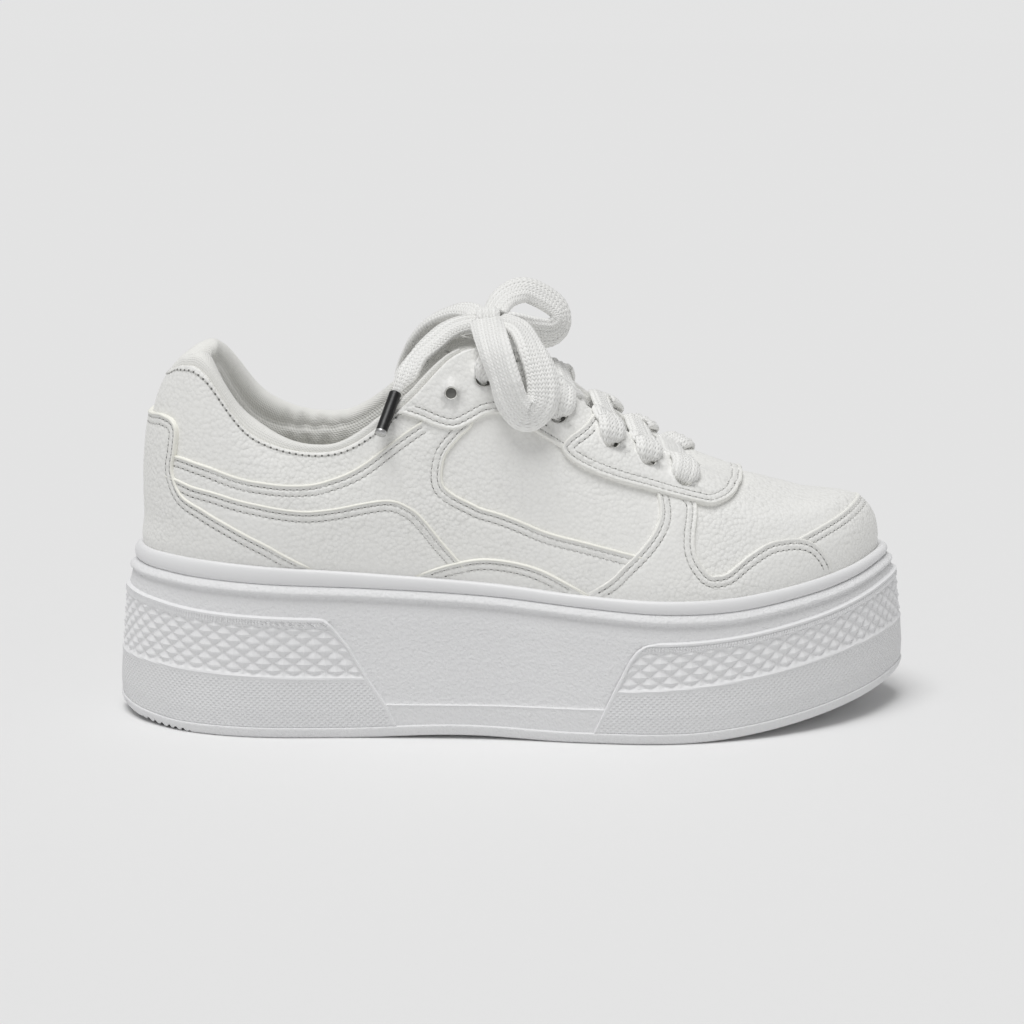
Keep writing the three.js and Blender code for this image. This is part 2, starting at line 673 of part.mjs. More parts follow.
// The upper's offset surface, run straight on past its edges.
function upperBeyond(u, v, out) {
  const inside = Math.min(Math.max(v, 0), 1);
  const p = upperOffset(u, inside, out);
  if (v === inside) return p;
  const back = upperPoint(u, Math.min(Math.max(v, 0.04), 0.96));
  const edge = upperPoint(u, inside);
  const away = edge.clone().sub(back).normalize();
  return p.addScaledVector(away, BLOCK_OVERHANG);
}

function overlay(rows, holes = []) {
  let solid = toSolid(upperShell(GAP, GAP + OVERLAY_THICK)).intersect(toSolid(patternBlock(rows)));
  for (const hole of holes) solid = solid.subtract(toSolid(hole));
  return fromSolid(solid);
}

function onSide(eyelet, side) {
  return side < 0 ? eyelet : { u: 2 * LAST_RIB - eyelet.u, v: eyelet.v };
}

function eyeletCutter(eyelet, side) {
  const { u, v } = onSide(eyelet, side);
  const normal = upperNormal(u, v);
  const cutter = new THREE.CylinderGeometry(EYELET_RADIUS, EYELET_RADIUS, 4 * UPPER_WALL, 6);
  cutter.applyQuaternion(new THREE.Quaternion().setFromUnitVectors(new THREE.Vector3(0, 1, 0), normal));
  const centre = upperPoint(u, v);
  return cutter.translate(centre.x, centre.y, centre.z);
}

function eyeletCutters(from, to) {
  return EYELETS.slice(from, to).flatMap((eyelet) => [-1, 1].map((side) => eyeletCutter(eyelet, side)));
}

// ---------------------------------------------------------------- midsole panels

// Straight runs between the rows of an edge. Past its higher end the panel has its full height.
function edgeHeight(rows, x) {
  const top = rows[0].z > rows[rows.length - 1].z ? rows[0] : rows[rows.length - 1];
  if (top === rows[0] ? x <= top.x : x >= top.x) return Infinity;
  const k = rows.findIndex((row) => row.x >= x);
  if (k < 1) return k < 0 ? rows[rows.length - 1].z : rows[0].z;
  const [a, b] = [rows[k - 1], rows[k]];
  return a.z + ((b.z - a.z) * (x - a.x)) / (b.x - a.x);
}

// Inset of the wall's outer surface at height z over x.
function wallInset(x, z) {
  const stops = [
    [ground(x) + OUTSOLE_THICK, INSET.wallFoot],
    [ground(x) + WALL_WIDEST, INSET.wallLow],
    [heightAt("band", x), INSET.wallBand],
    [heightAt("panel", x), INSET.wallPanel],
  ];
  for (let k = 1; k < stops.length; k++) {
    const [z0, a] = stops[k - 1];
    const [z1, b] = stops[k];
    if (z <= z1 || k === stops.length - 1) return a + ((b - a) * (z - z0)) / (z1 - z0);
  }
}

function panel(edge, places) {
  const rings = places.map((at) => {
    const [x] = outlinePoint(at);
    const foot = ground(x) + OUTSOLE_THICK + GAP;
    const top = Math.min(heightAt("panel", x), edgeHeight(edge, x));
    const line = (further) => PANEL_SHARES.map((share) => {
      const z = foot + (top - foot) * share;
      return solePoint(at, wallInset(x, z), further, () => z);
    });
    return [...line(PANEL_THICK), ...line(0).reverse()];
  });
  return ringBody(rings);
}

// Places on the outline, in the sole's own steps, from one row to another.
function placesBetween(from, to) {
  const count = (to - from) * OUTLINE_STEPS;
  return Array.from({ length: count + 1 }, (_, i) => from + i / OUTLINE_STEPS);
}

// The panel's whole round, with the columns of its slanted edge on either side.
function bothSides(places, ends, about) {
  const other = ends.map((at) => 2 * about - at);
  return about === 0 ? [...other.reverse(), ...places, ...ends] : [...ends, ...places, ...other.reverse()];
}

// ---------------------------------------------------------------- collar and tongue

function rowAt(rows, key, place, column) {
  const k = Math.min(Math.max(rows.findIndex((row) => row[key] > place), 1), rows.length - 1);
  const [a, b] = [rows[k - 1], rows[k]];
  const share = THREE.MathUtils.clamp((place - a[key]) / (b[key] - a[key]), 0, 1);
  return a[column] + (b[column] - a[column]) * share;
}

function collarPadding() {
  const rings = [];
  const clear = UPPER_WALL + GAP;
  for (let i = -PAD_END; i <= PAD_END; i++) {
    const u = i / RIB_STEPS;
    const [thick, rise, low] = ["thick", "rise", "low"].map((key) => rowAt(PAD, "u", Math.abs(u), key));
    const [third, twoThirds] = [low + (1 - low) / 3, low + ((1 - low) * 2) / 3];
    const edge = upperPoint(u, 1);
    const up = edge.clone().sub(upperPoint(u, 0.9)).normalize();
    const out = upperNormal(u, 0.97);
    const above = (inwards, height) => {
      return edge.clone().addScaledVector(out, -clear - inwards * thick).addScaledVector(up, height * rise);
    };
    rings.push([
      upperOffset(u, low, -clear),
      upperOffset(u, third, -clear),
      upperOffset(u, twoThirds, -clear),
      upperOffset(u, 1, -clear),
      above(0.12, 0.8),
      above(0.5, 1),
      above(0.92, 0.35),
      upperOffset(u, twoThirds, -clear - thick),
      upperOffset(u, third, -clear - thick * 0.8),
      upperOffset(u, low, -clear - 1),
    ]);
  }
  return ringBody(rings);
}

function tongue() {
  const shares = [-1, -0.67, -0.33, 0, 0.33, 0.67, 1];
  const rings = TONGUE.map(({ x, z, half, drop }) => {
    const surface = (thick, edge) => shares.map((share) => {
      const below = thick + (edge - thick) * share * share;
      return new THREE.Vector3(x, CENTRE_Y + half * share, z - drop * share * share - below);
    });
    return [...surface(0, 0), ...surface(TONGUE_THICK, TONGUE_EDGE).reverse()];
  });
  return ringBody(rings);
}

// ---------------------------------------------------------------- lace

function oval(width, thick, sides) {
  return Array.from({ length: sides }, (_, i) => {
    const angle = ((i + 0.5) * 2 * Math.PI) / sides;
    return new THREE.Vector2((Math.cos(angle) * width) / 2, (Math.sin(angle) * thick) / 2);
  });
}

// A flat strip through points that each have the direction its face looks in.
function strip(stations) {
  const rings = stations.map(({ at, face, width }, i) => {
    const before = stations[Math.max(i - 1, 0)].at;
    const after = stations[Math.min(i + 1, stations.length - 1)].at;
    const along = after.clone().sub(before).normalize();
    const side = along.clone().cross(face).normalize();
    const up = side.clone().cross(along).normalize();
    return oval(width, LACE_THICK, STRIP_SIDES).map(({ x, y }) => {
      return at.clone().addScaledVector(side, x).addScaledVector(up, y);
    });
  });
  return ringBody(rings);
}

const LACE_LIFT = GAP + OVERLAY_THICK + 4 * GAP + LACE_THICK / 2; // over the upper's surface

// Over the edge of the throat and down to an eyelet.
function laceToEyelet(eyelet, side) {
  const { u, v } = onSide(eyelet, side);
  const throatU = onSide({ u: eyelet.over, v: 1 }, side).u;
  return [[throatU, 1], [(throatU + u) / 2, (1 + v) / 2], [u, v + 0.01]].map(([placeU, placeV]) => ({
    at: upperOffset(placeU, placeV, LACE_LIFT),
    face: upperNormal(placeU, placeV),
    width: LACE_WIDTH,
  }));
}

function crown(x, y) {
  const rise = GAP + LACE_THICK / 2 + 0.9;
  const z = rowAt([...TONGUE].reverse(), "x", x, "z");
  return { at: new THREE.Vector3(x, y, z + rise), face: new THREE.Vector3(0.5, 0, 1), width: LACE_WIDTH };
}

// The first row of the lace lies straight across.
function laceBar() {
  const ends = [-1, 1].map((side) => laceToEyelet(EYELETS[0], side));
  const middle = crown((ends[0][0].at.x + ends[1][0].at.x) / 2, CENTRE_Y);
  middle.at.z = Math.max(middle.at.z, ends[0][0].at.z + 0.6);
  return strip([...ends[0].reverse(), middle, ...ends[1]]);
}

// One half of a crossing: out of the throat on one side, and over the other edge to its eyelet.
function laceDiagonal(k, side) {
  const from = EYELETS[k];
  const to = EYELETS[k + 1];
  const start = THREE.MathUtils.lerp(from.over, to.over, 0.42);
  const edge = upperPoint(onSide({ u: start, v: 1 }, side).u, 1);
  const end = laceToEyelet(to, -side);
  const first = edge.clone();
  first.y = CENTRE_Y + (edge.y - CENTRE_Y) * 0.86;
  first.z += 0.4;
  const middle = crown((edge.x + end[0].at.x) / 2, CENTRE_Y);
  middle.at.z = Math.max(middle.at.z, (edge.z + end[0].at.z) / 2 + 0.8);
  const face = upperNormal(onSide({ u: start, v: 1 }, side).u, 0.98);
  return strip([{ at: first, face, width: LACE_WIDTH * 0.6 }, middle, ...end]);
}

function laceCrossing(k) {
  return fromSolid(toSolid(laceDiagonal(k, -1)).add(toSolid(laceDiagonal(k, 1))));
}

function cordTube(points) {
  const path = new THREE.CatmullRomCurve3(points.map((p) => new THREE.Vector3(...p)));
  const section = new THREE.Shape(oval(CORD_THICK, CORD_WIDTH, CORD_SIDES));
  const steps = Math.round(path.getLength() / CORD_STEP);
  return new THREE.ExtrudeGeometry(section, { steps, extrudePath: path });
}

function knotForm(grown) {
  const form = new THREE.SphereGeometry(1, 12, 8);
  form.scale(KNOT.rx + grown, KNOT.ry + grown, KNOT.rz + grown);
  return form.translate(KNOT.x, KNOT.y, KNOT.z);
}

function aglet({ from, to }) {
  const [a, b] = [from, to].map((p) => new THREE.Vector3(...p));
  const axis = b.clone().sub(a);
  const form = new THREE.CylinderGeometry(AGLET_RADIUS, AGLET_RADIUS, axis.length(), 10);
  form.applyQuaternion(new THREE.Quaternion().setFromUnitVectors(new THREE.Vector3(0, 1, 0), axis.normalize()));
  const middle = a.add(b).multiplyScalar(0.5);
  return form.translate(middle.x, middle.y, middle.z);
}

// ---------------------------------------------------------------- assembly

function piece(name, geometry, colour, roughness) {
  const material = new THREE.MeshStandardMaterial({ color: colour, roughness, metalness: 0 });
  const mesh = new THREE.Mesh(geometry, material);
  mesh.name = name;
  return mesh;
}

const shoe = new THREE.Group();
const bow = new THREE.Group();

const heelPlaces = bothSides(placesBetween(-4, 4), HEEL_PANEL_ENDS, 0);
const toePlaces = bothSides(placesBetween(8, 2 * LAST_ROW - 8), TOE_PANEL_ENDS, LAST_ROW);
shoe.add(piece("outsole", outsole(), COLOUR.rubber, 0.6));
shoe.add(piece("midsole", midsole(), COLOUR.rubber, 0.6));
shoe.add(piece("heel_panel", panel(HEEL_PANEL_EDGE, heelPlaces), COLOUR.rubber, 0.65));
shoe.add(piece("toe_panel", panel(TOE_PANEL_EDGE, toePlaces), COLOUR.rubber, 0.65));
shoe.add(piece("welt", welt(), COLOUR.rubber, 0.45));
shoe.add(piece("insole", insole(), COLOUR.textile, 0.9));

shoe.add(piece("upper", cutAway(upper(), eyeletCutters(0, EYELETS.length)), COLOUR.leather, 0.55));
shoe.add(piece("heel_counter", overlay(withMirror(HEEL_COUNTER, 0)), COLOUR.leather, 0.5));
shoe.add(piece("toe_cap", overlay(withMirror(TOE_CAP, LAST_RIB)), COLOUR.leather, 0.5));
const frontHoles = eyeletCutters(0, 4);
const rearHoles = eyeletCutters(3, EYELETS.length);
const frontRows = withMirror(EYESTAY_FRONT, LAST_RIB);
shoe.add(piece("eyestay_front", overlay(frontRows, frontHoles), COLOUR.leather, 0.5));
shoe.add(piece("eyestay_lateral", overlay(EYESTAY_REAR, rearHoles), COLOUR.leather, 0.5));
const medialRows = mirrored(EYESTAY_REAR, LAST_RIB);
shoe.add(piece("eyestay_medial", overlay(medialRows, rearHoles), COLOUR.leather, 0.5));
shoe.add(piece("collar_padding", collarPadding(), COLOUR.textile, 0.9));
shoe.add(piece("tongue", tongue(), COLOUR.textile, 0.8));

shoe.add(piece("lace_bar", laceBar(), COLOUR.lace, 0.85));
for (let k = 0; k < LACED - 1; k++) {
  shoe.add(piece(`lace_crossing_${k + 1}`, laceCrossing(k), COLOUR.lace, 0.85));
}
const knotSpace = [knotForm(GAP)];
bow.add(piece("knot", fromSolid(toSolid(knotForm(0))), COLOUR.lace, 0.85));
bow.add(piece("loop_lateral", cutAway(cordTube(LOOP_LATERAL), knotSpace), COLOUR.lace, 0.85));
bow.add(piece("loop_medial", cutAway(cordTube(LOOP_MEDIAL), knotSpace), COLOUR.lace, 0.85));
bow.add(piece("lace_end_lateral", cutAway(cordTube(END_LATERAL), knotSpace), COLOUR.lace, 0.85));
bow.add(piece("lace_end_medial", cutAway(cordTube(END_MEDIAL), knotSpace), COLOUR.lace, 0.85));
bow.add(piece("aglet_lateral", aglet(AGLET_LATERAL), COLOUR.aglet, 0.25));
bow.add(piece("aglet_medial", aglet(AGLET_MEDIAL), COLOUR.aglet, 0.25));

// The bow's points are given from the middle line of the throat.
bow.position.y = CENTRE_Y;
const middle = new THREE.Box3().setFromObject(shoe).getCenter(new THREE.Vector3());
const model = new THREE.Group();
model.add(shoe, bow);
model.position.set(-middle.x, -middle.y, 0);

export default model;
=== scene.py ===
"""Looks of a white platform sneaker for the right foot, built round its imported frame.

Lengths are in millimetres and heights run up from the ground until a mesh is made, which is in
metres. +X points to the toe and -Y to the outer side.
"""

from __future__ import annotations

import json
import logging
import math
from dataclasses import dataclass, field
from enum import Enum

import bpy
import numpy as np
from mathutils import Vector
from mathutils.geometry import delaunay_2d_cdt
from mathutils.kdtree import KDTree
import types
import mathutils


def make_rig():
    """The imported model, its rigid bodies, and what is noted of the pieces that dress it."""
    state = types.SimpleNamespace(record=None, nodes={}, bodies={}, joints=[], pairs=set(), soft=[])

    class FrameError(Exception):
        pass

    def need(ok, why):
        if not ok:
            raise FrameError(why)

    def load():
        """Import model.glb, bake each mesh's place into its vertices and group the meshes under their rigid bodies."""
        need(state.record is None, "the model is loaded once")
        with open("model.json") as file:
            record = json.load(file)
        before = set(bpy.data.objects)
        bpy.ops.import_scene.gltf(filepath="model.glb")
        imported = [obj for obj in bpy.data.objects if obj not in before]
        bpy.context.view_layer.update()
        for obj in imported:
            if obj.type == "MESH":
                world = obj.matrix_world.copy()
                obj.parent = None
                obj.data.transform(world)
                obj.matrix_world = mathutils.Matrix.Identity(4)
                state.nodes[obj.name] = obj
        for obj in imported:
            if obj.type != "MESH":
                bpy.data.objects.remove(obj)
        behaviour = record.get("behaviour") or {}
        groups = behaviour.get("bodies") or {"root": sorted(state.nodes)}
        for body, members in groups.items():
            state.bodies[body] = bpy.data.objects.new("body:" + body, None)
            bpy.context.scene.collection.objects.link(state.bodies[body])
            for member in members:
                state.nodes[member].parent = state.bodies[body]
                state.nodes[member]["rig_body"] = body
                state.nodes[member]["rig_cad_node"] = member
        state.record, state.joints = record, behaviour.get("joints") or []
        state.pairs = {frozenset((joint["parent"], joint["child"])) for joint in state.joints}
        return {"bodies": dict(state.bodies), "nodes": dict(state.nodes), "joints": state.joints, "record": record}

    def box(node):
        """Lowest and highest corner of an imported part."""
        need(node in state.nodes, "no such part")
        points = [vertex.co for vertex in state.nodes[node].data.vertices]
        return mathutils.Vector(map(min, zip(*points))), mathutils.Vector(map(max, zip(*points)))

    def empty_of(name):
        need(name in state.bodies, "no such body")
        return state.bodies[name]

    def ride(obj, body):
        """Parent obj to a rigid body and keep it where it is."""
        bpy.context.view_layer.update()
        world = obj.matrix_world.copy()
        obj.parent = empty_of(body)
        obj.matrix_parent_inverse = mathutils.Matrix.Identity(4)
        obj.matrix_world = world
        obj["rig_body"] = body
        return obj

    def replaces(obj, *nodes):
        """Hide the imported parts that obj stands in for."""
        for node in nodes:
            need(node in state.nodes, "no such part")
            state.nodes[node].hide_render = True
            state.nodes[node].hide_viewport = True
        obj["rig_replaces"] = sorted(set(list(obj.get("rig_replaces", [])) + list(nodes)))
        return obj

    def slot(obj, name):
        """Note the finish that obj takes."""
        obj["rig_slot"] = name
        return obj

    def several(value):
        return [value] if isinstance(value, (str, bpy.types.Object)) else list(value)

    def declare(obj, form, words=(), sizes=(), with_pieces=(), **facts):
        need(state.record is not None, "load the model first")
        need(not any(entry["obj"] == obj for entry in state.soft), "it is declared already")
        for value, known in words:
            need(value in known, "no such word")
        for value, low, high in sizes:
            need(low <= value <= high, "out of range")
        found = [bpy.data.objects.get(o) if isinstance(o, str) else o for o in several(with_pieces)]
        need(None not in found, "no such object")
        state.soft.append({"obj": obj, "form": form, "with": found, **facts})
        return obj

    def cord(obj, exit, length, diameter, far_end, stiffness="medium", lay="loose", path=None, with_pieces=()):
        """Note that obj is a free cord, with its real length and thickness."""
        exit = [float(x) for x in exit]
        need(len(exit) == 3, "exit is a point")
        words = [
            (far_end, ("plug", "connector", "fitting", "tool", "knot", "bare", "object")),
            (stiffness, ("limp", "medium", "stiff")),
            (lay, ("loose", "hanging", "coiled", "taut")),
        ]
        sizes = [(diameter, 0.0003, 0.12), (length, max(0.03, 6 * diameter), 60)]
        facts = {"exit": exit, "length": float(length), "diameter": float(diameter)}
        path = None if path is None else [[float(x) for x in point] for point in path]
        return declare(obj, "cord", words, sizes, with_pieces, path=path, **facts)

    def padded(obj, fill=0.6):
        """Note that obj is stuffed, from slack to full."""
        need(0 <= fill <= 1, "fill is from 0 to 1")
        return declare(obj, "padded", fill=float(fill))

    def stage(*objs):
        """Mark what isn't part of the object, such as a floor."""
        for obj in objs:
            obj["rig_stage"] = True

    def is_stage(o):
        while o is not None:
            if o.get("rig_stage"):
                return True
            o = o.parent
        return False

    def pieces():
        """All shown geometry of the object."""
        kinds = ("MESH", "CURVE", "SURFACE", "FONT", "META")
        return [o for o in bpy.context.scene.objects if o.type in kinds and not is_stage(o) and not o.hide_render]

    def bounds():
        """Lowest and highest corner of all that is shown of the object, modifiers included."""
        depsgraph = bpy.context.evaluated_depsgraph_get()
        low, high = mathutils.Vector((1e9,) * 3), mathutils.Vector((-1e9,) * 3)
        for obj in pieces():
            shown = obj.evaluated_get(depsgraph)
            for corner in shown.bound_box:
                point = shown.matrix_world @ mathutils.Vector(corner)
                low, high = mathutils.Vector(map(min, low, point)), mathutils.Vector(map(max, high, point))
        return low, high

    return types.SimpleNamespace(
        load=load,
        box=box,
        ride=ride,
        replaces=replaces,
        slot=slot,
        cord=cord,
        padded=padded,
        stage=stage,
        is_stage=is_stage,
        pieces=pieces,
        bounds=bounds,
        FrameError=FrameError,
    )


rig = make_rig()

LOG = logging.getLogger("sneaker")
MM = 0.001
RIB_RUN, SIDE_RUN = 18, 58  # millimetres between two ribs, and from rim to edge, on the flat pattern
FLAT = [RIB_RUN, SIDE_RUN]
THROAT_Y = 1.5  # middle line of the throat


class Side(Enum):
    """The two sides of the shoe."""

    LATERAL = -1
    MEDIAL = 1


class Slot(Enum):
    """Material slots of the record."""

    RUBBER = "sole_rubber"
    LEATHER = "leather"
    TEXTILE = "lining_textile"
    LACE = "lace"
    AGLET = "aglet"


# ---------------------------------------------------------------------------- shape of the shoe


def catmull(a: np.ndarray, b: np.ndarray, c: np.ndarray, d: np.ndarray, t: np.ndarray) -> np.ndarray:
    """Uniform Catmull-Rom blend of four values.

    Args:
        a: Value before the span.
        b: Value at the span's start.
        c: Value at the span's end.
        d: Value after the span.
        t: Share of the span.

    Returns:
        The blended value.
    """
    cubic = (3 * b - a - 3 * c + d) * t**3
    return 0.5 * (2 * b + (c - a) * t + (2 * a - 5 * b + 4 * c - d) * t**2 + cubic)


def smooth(low: float, high: float, x: np.ndarray) -> np.ndarray:
    """Soft step from 0 at low to 1 at high."""
    t = np.clip((x - low) / (high - low), 0, 1)
    return t * t * (3 - 2 * t)


def bump(x: np.ndarray, centre: float, width: float) -> np.ndarray:
    """Bell of height 1 about a centre."""
    return np.exp(-(((x - centre) / width) ** 2))


def unit(v: np.ndarray) -> np.ndarray:
    """Rows of an array, each made one unit long."""
    return v / np.maximum(np.linalg.norm(v, axis=-1, keepdims=True), 1e-9)


def through(points: list, step: float, closed: bool = False) -> np.ndarray:
    """A smooth line through points, sampled at even steps.

    Args:
        points: Points of any dimension.
        step: Wanted distance between samples.
        closed: Whether the line joins up with itself.

    Returns:
        Samples, one a row. A closed line does not repeat its first.
    """
    p = np.array(points, float)
    n = len(p)
    spans = n if closed else n - 1
    t = np.linspace(0, spans, spans * 24 + 1)
    i = np.minimum(t.astype(int), spans - 1)
    f = (t - i)[:, None]

    def at(k: np.ndarray) -> np.ndarray:
        """Point k, run on past an open line's ends."""
        if closed:
            return p[k % n]
        inside = p[np.clip(k, 0, n - 1)]
        before = np.where((k < 0)[:, None], p[0] - p[1], 0)
        after = np.where((k > n - 1)[:, None], p[-1] - p[-2], 0)
        return inside + before + after

    line = catmull(at(i - 1), at(i), at(i + 1), at(i + 2), f)
    run = np.concatenate([[0], np.cumsum(np.linalg.norm(np.diff(line, axis=0), axis=1))])
    count = max(int(round(run[-1] / step)), 2)
    want = np.linspace(0, run[-1], count + 1)
    even = np.stack([np.interp(want, run, line[:, k]) for k in range(p.shape[1])], axis=1)
    return even[:-1] if closed else even


@dataclass
class ShoeForm:
    """The last, sole outline and height lines that every piece is drawn on."""

    outline: np.ndarray = field(default_factory=lambda: np.array([
        [-142.8, 0, -142.8, 0], [-139, -12.5, -139.5, 12], [-130, -24, -131, 23.5],
        [-113, -35.8, -114, 34.5], [-88, -42.3, -90, 40], [-50, -42.6, -50, 39],
        [-8, -44, -8, 39], [25, -48.6, 27, 45.5], [51, -50.5, 57, 52.3],
        [76, -46.6, 83, 53.5], [99, -37.5, 106, 50.5], [119, -24.5, 124, 43],
        [134.5, -8, 137.5, 31], [144.3, 13, 144.3, 13]], float))
    level_names: tuple = ("x", "band", "panel", "lip", "bead", "rim")
    levels: np.ndarray = field(default_factory=lambda: np.array([
        [-143, 23.5, 47.5, 54.6, 56.4, 62], [-110, 23, 44.4, 53.4, 55.2, 61.6],
        [-80, 21.8, 43, 52, 53.8, 59.9], [-45, 21.5, 42, 50.6, 52.4, 57.6],
        [-8, 20, 39.8, 48.4, 50.2, 54.8], [25, 18.8, 37, 45.3, 47.1, 51.4],
        [50, 19.3, 35.8, 43.4, 45.2, 49.8], [75, 21.3, 36.8, 43.3, 45.1, 49.8],
        [98, 24.4, 39.6, 45.6, 47.4, 52], [118, 27.7, 43.2, 48.6, 50.4, 54.8],
        [133, 30, 47, 52, 53.8, 57.4], [145, 31.8, 50, 54.6, 56.4, 59.4]], float))
    rib_names: tuple = ("at", "x", "mid", "half", "z", "lift", "lean", "reach", "shoulder",
                        "power", "sag")
    ribs: np.ndarray = field(default_factory=lambda: np.array([
        [0, -122.5, 0, 0, 124, 0, 2.4, 0, 108, 2.5, 0],
        [1, -121, 0, 10, 125.2, 0, 2.4, 0, 108, 2.5, 0],
        [2, -115.5, 0, 18, 127.3, 0, 2.4, 0, 106, 2.4, 0],
        [3, -106, 0, 24, 124.6, 0, 2.4, 0, 100, 2.3, 0],
        [4, -88.5, 0, 28.5, 103.8, 1.2, 2.6, 0.05, 86, 2.2, 0],
        [4.9, -61, -0.5, 30, 99.2, 2.5, 2.6, 0.1, 82, 2.1, 0],
        [5.8, -37.5, -0.5, 28, 114.2, 1.5, 2.4, 0.15, 88, 2, 0],
        [6.5, -19, 0, 24.5, 131.8, 0.5, 2, 0.18, 92, 2, 0],
        [7.1, -4, 0, 20.5, 132.2, 0, 1.5, 0.2, 92, 2, 0],
        [7.8, 14, 0.5, 18.5, 121, 0, 1, 0.22, 90, 2, 0],
        [8.8, 35, 1, 17, 105.2, 0, 0.8, 0.2, 85, 2, 0.5],
        [9.8, 52.5, 1.5, 15, 94.4, 0, 0.6, 0.12, 80.5, 2.2, 1.4],
        [11, 62.5, 2, 10, 88.8, 0, 0.4, 0.06, 79.6, 2.7, 2.4],
        [12, 66, 2, 5, 87.2, 0, 0.2, 0.03, 80.8, 3.2, 3],
        [13, 67, 2, 0, 86.8, 0, 0.2, 0.02, 81.6, 3.5, 3]], float))
    side_share: float = 0.66
    upper_inset: float = 11.6
    rim_drop: float = 60.0
    across: int = 150
    per_rib: int = 32
    shift: np.ndarray = field(default_factory=lambda: np.zeros(3))

    def __post_init__(self) -> None:
        """Works out the upper's table of points and normals."""
        lateral, medial = self.outline[:, :2], self.outline[1:-1, 2:][::-1]
        self.ring = np.concatenate([lateral, medial])
        self.rows = len(self.outline) - 1
        self.last = len(self.ribs) - 1
        u = np.arange(2 * self.last * self.per_rib + 1) / self.per_rib
        fine = (1 - np.cos(np.linspace(0, np.pi, 500))) / 2
        points = self._bent(np.repeat(u, 500), np.tile(fine, len(u))).reshape(len(u), 500, 3)
        run = np.cumsum(np.linalg.norm(np.diff(points, axis=1), axis=2), axis=1)
        run = np.concatenate([np.zeros((len(u), 1)), run], axis=1)
        self.height = run[:, -1]
        shares = np.linspace(0, 1, self.across + 1)
        self.table = np.stack([
            np.stack([np.interp(shares * run[k, -1], run[k], points[k, :, c]) for c in range(3)], 1)
            for k in range(len(u))])
        self.old_v = fine
        self.share_of = run / run[:, -1:]
        along = np.gradient(self.table, axis=0)
        along[0] = along[-1] = self.table[1] - self.table[-2]
        up = np.gradient(self.table, axis=1)
        self.normals = unit(np.cross(along, up))

    def outline_at(self, at: np.ndarray) -> np.ndarray:
        """Points of the sole's widest outline at rows counted round from the heel."""
        i = np.floor(at).astype(int)
        n = len(self.ring)
        p = [self.ring[(i + k) % n] for k in (-1, 0, 1, 2)]
        return catmull(*p, (at - i)[:, None])

    def outline_normal(self, at: np.ndarray) -> np.ndarray:
        """Outward normals of the outline in plan."""
        d = self.outline_at(at + 0.05) - self.outline_at(at - 0.05)
        return unit(np.stack([d[:, 1], -d[:, 0]], axis=1))

    def level(self, key: str, x: np.ndarray) -> np.ndarray:
        """Height of one of the sole's lines over x."""
        xs, ys = self.levels[:, 0], self.levels[:, self.level_names.index(key)]
        slope = np.gradient(ys, xs)
        x = np.clip(x, xs[0], xs[-1])
        i = np.clip(np.searchsorted(xs, x) - 1, 0, len(xs) - 2)
        h = xs[i + 1] - xs[i]
        t, rise = (x - xs[i]) / h, ys[i + 1] - ys[i]
        a, b = slope[i] * h - rise, rise - slope[i + 1] * h
        return ys[i] + rise * t + t * (1 - t) * (a * (1 - t) + b * t)

    def ground(self, x: np.ndarray) -> np.ndarray:
        """Height of the tread: bevelled heel, arch and toe spring."""
        heel = 2.6 * (np.clip(-114 - x, 0, None) / 26) ** 2
        toe = 11 * (np.clip(x - 58, 0, None) / 82) ** 1.6
        arch = 1.3 * np.sin(np.pi * np.clip((x + 62) / 84, 0, 1)) ** 2
        return heel + toe + arch

    def sole(self, at: np.ndarray, inset: np.ndarray, further: float = 0.0) -> np.ndarray:
        """Plan points inset from the outline, less along the sides than at heel and toe."""
        n = self.outline_normal(at)
        d = inset * (self.side_share + (1 - self.side_share) * n[:, 0] ** 2) + further
        return self.outline_at(at) - n * d[:, None]

    def rib(self, u: np.ndarray) -> dict[str, np.ndarray]:
        """The rib table at u, counted round from the heel over the outer side."""
        n = 2 * self.last
        i = np.floor(u).astype(int)
        t = u - i
        values = []
        for k in (-1, 0, 1, 2):
            turns, j = np.divmod(i + k, n)
            medial = j > self.last
            row = self.ribs[np.where(medial, n - j, j)].copy()
            row[:, 0] = np.where(medial, 2 * self.rows - row[:, 0], row[:, 0]) + turns * 2 * self.rows
            row[:, 3] *= np.where(medial, 1, -1)
            row[:, 5] *= medial
            values.append(row)
        found = catmull(*values, t[:, None])
        return {name: found[:, k] for k, name in enumerate(self.rib_names)}

    def _bent(self, u: np.ndarray, v: np.ndarray) -> np.ndarray:
        """Points on ribs that bend from the rim up to the edge of the opening."""
        rib = self.rib(u)
        plan = self.sole(rib["at"], np.full(len(u), self.upper_inset))
        foot = np.column_stack([plan, self.level("rim", plan[:, 0])])
        top = np.column_stack([rib["x"], rib["mid"] + rib["half"], rib["z"] + rib["lift"]])
        n = self.outline_normal(rib["at"])
        corner = foot + (top - foot) * rib["reach"][:, None]
        corner[:, :2] += n * rib["lean"][:, None]
        corner[:, 2] = rib["shoulder"] + rib["lift"] / 2
        angle = np.clip(v, 0, 1) * np.pi / 2
        a = 1 - np.sin(angle) ** (2 / rib["power"])
        b = 1 - np.abs(np.cos(angle)) ** (2 / rib["power"])
        p = corner + (foot - corner) * a[:, None] + (top - corner) * b[:, None]
        p[:, 2] -= rib["sag"] * np.sin(np.pi * np.clip((v - 0.4) / 0.6, 0, 1)) ** 2
        return p

    def share(self, u: np.ndarray, v: np.ndarray) -> np.ndarray:
        """Share of a rib's length that belongs to its angle v."""
        k = np.round((u % (2 * self.last)) * self.per_rib).astype(int)
        inside = np.array([np.interp(b, self.old_v, self.share_of[a]) for a, b in zip(k, v)])
        return inside + np.minimum(v, 0)

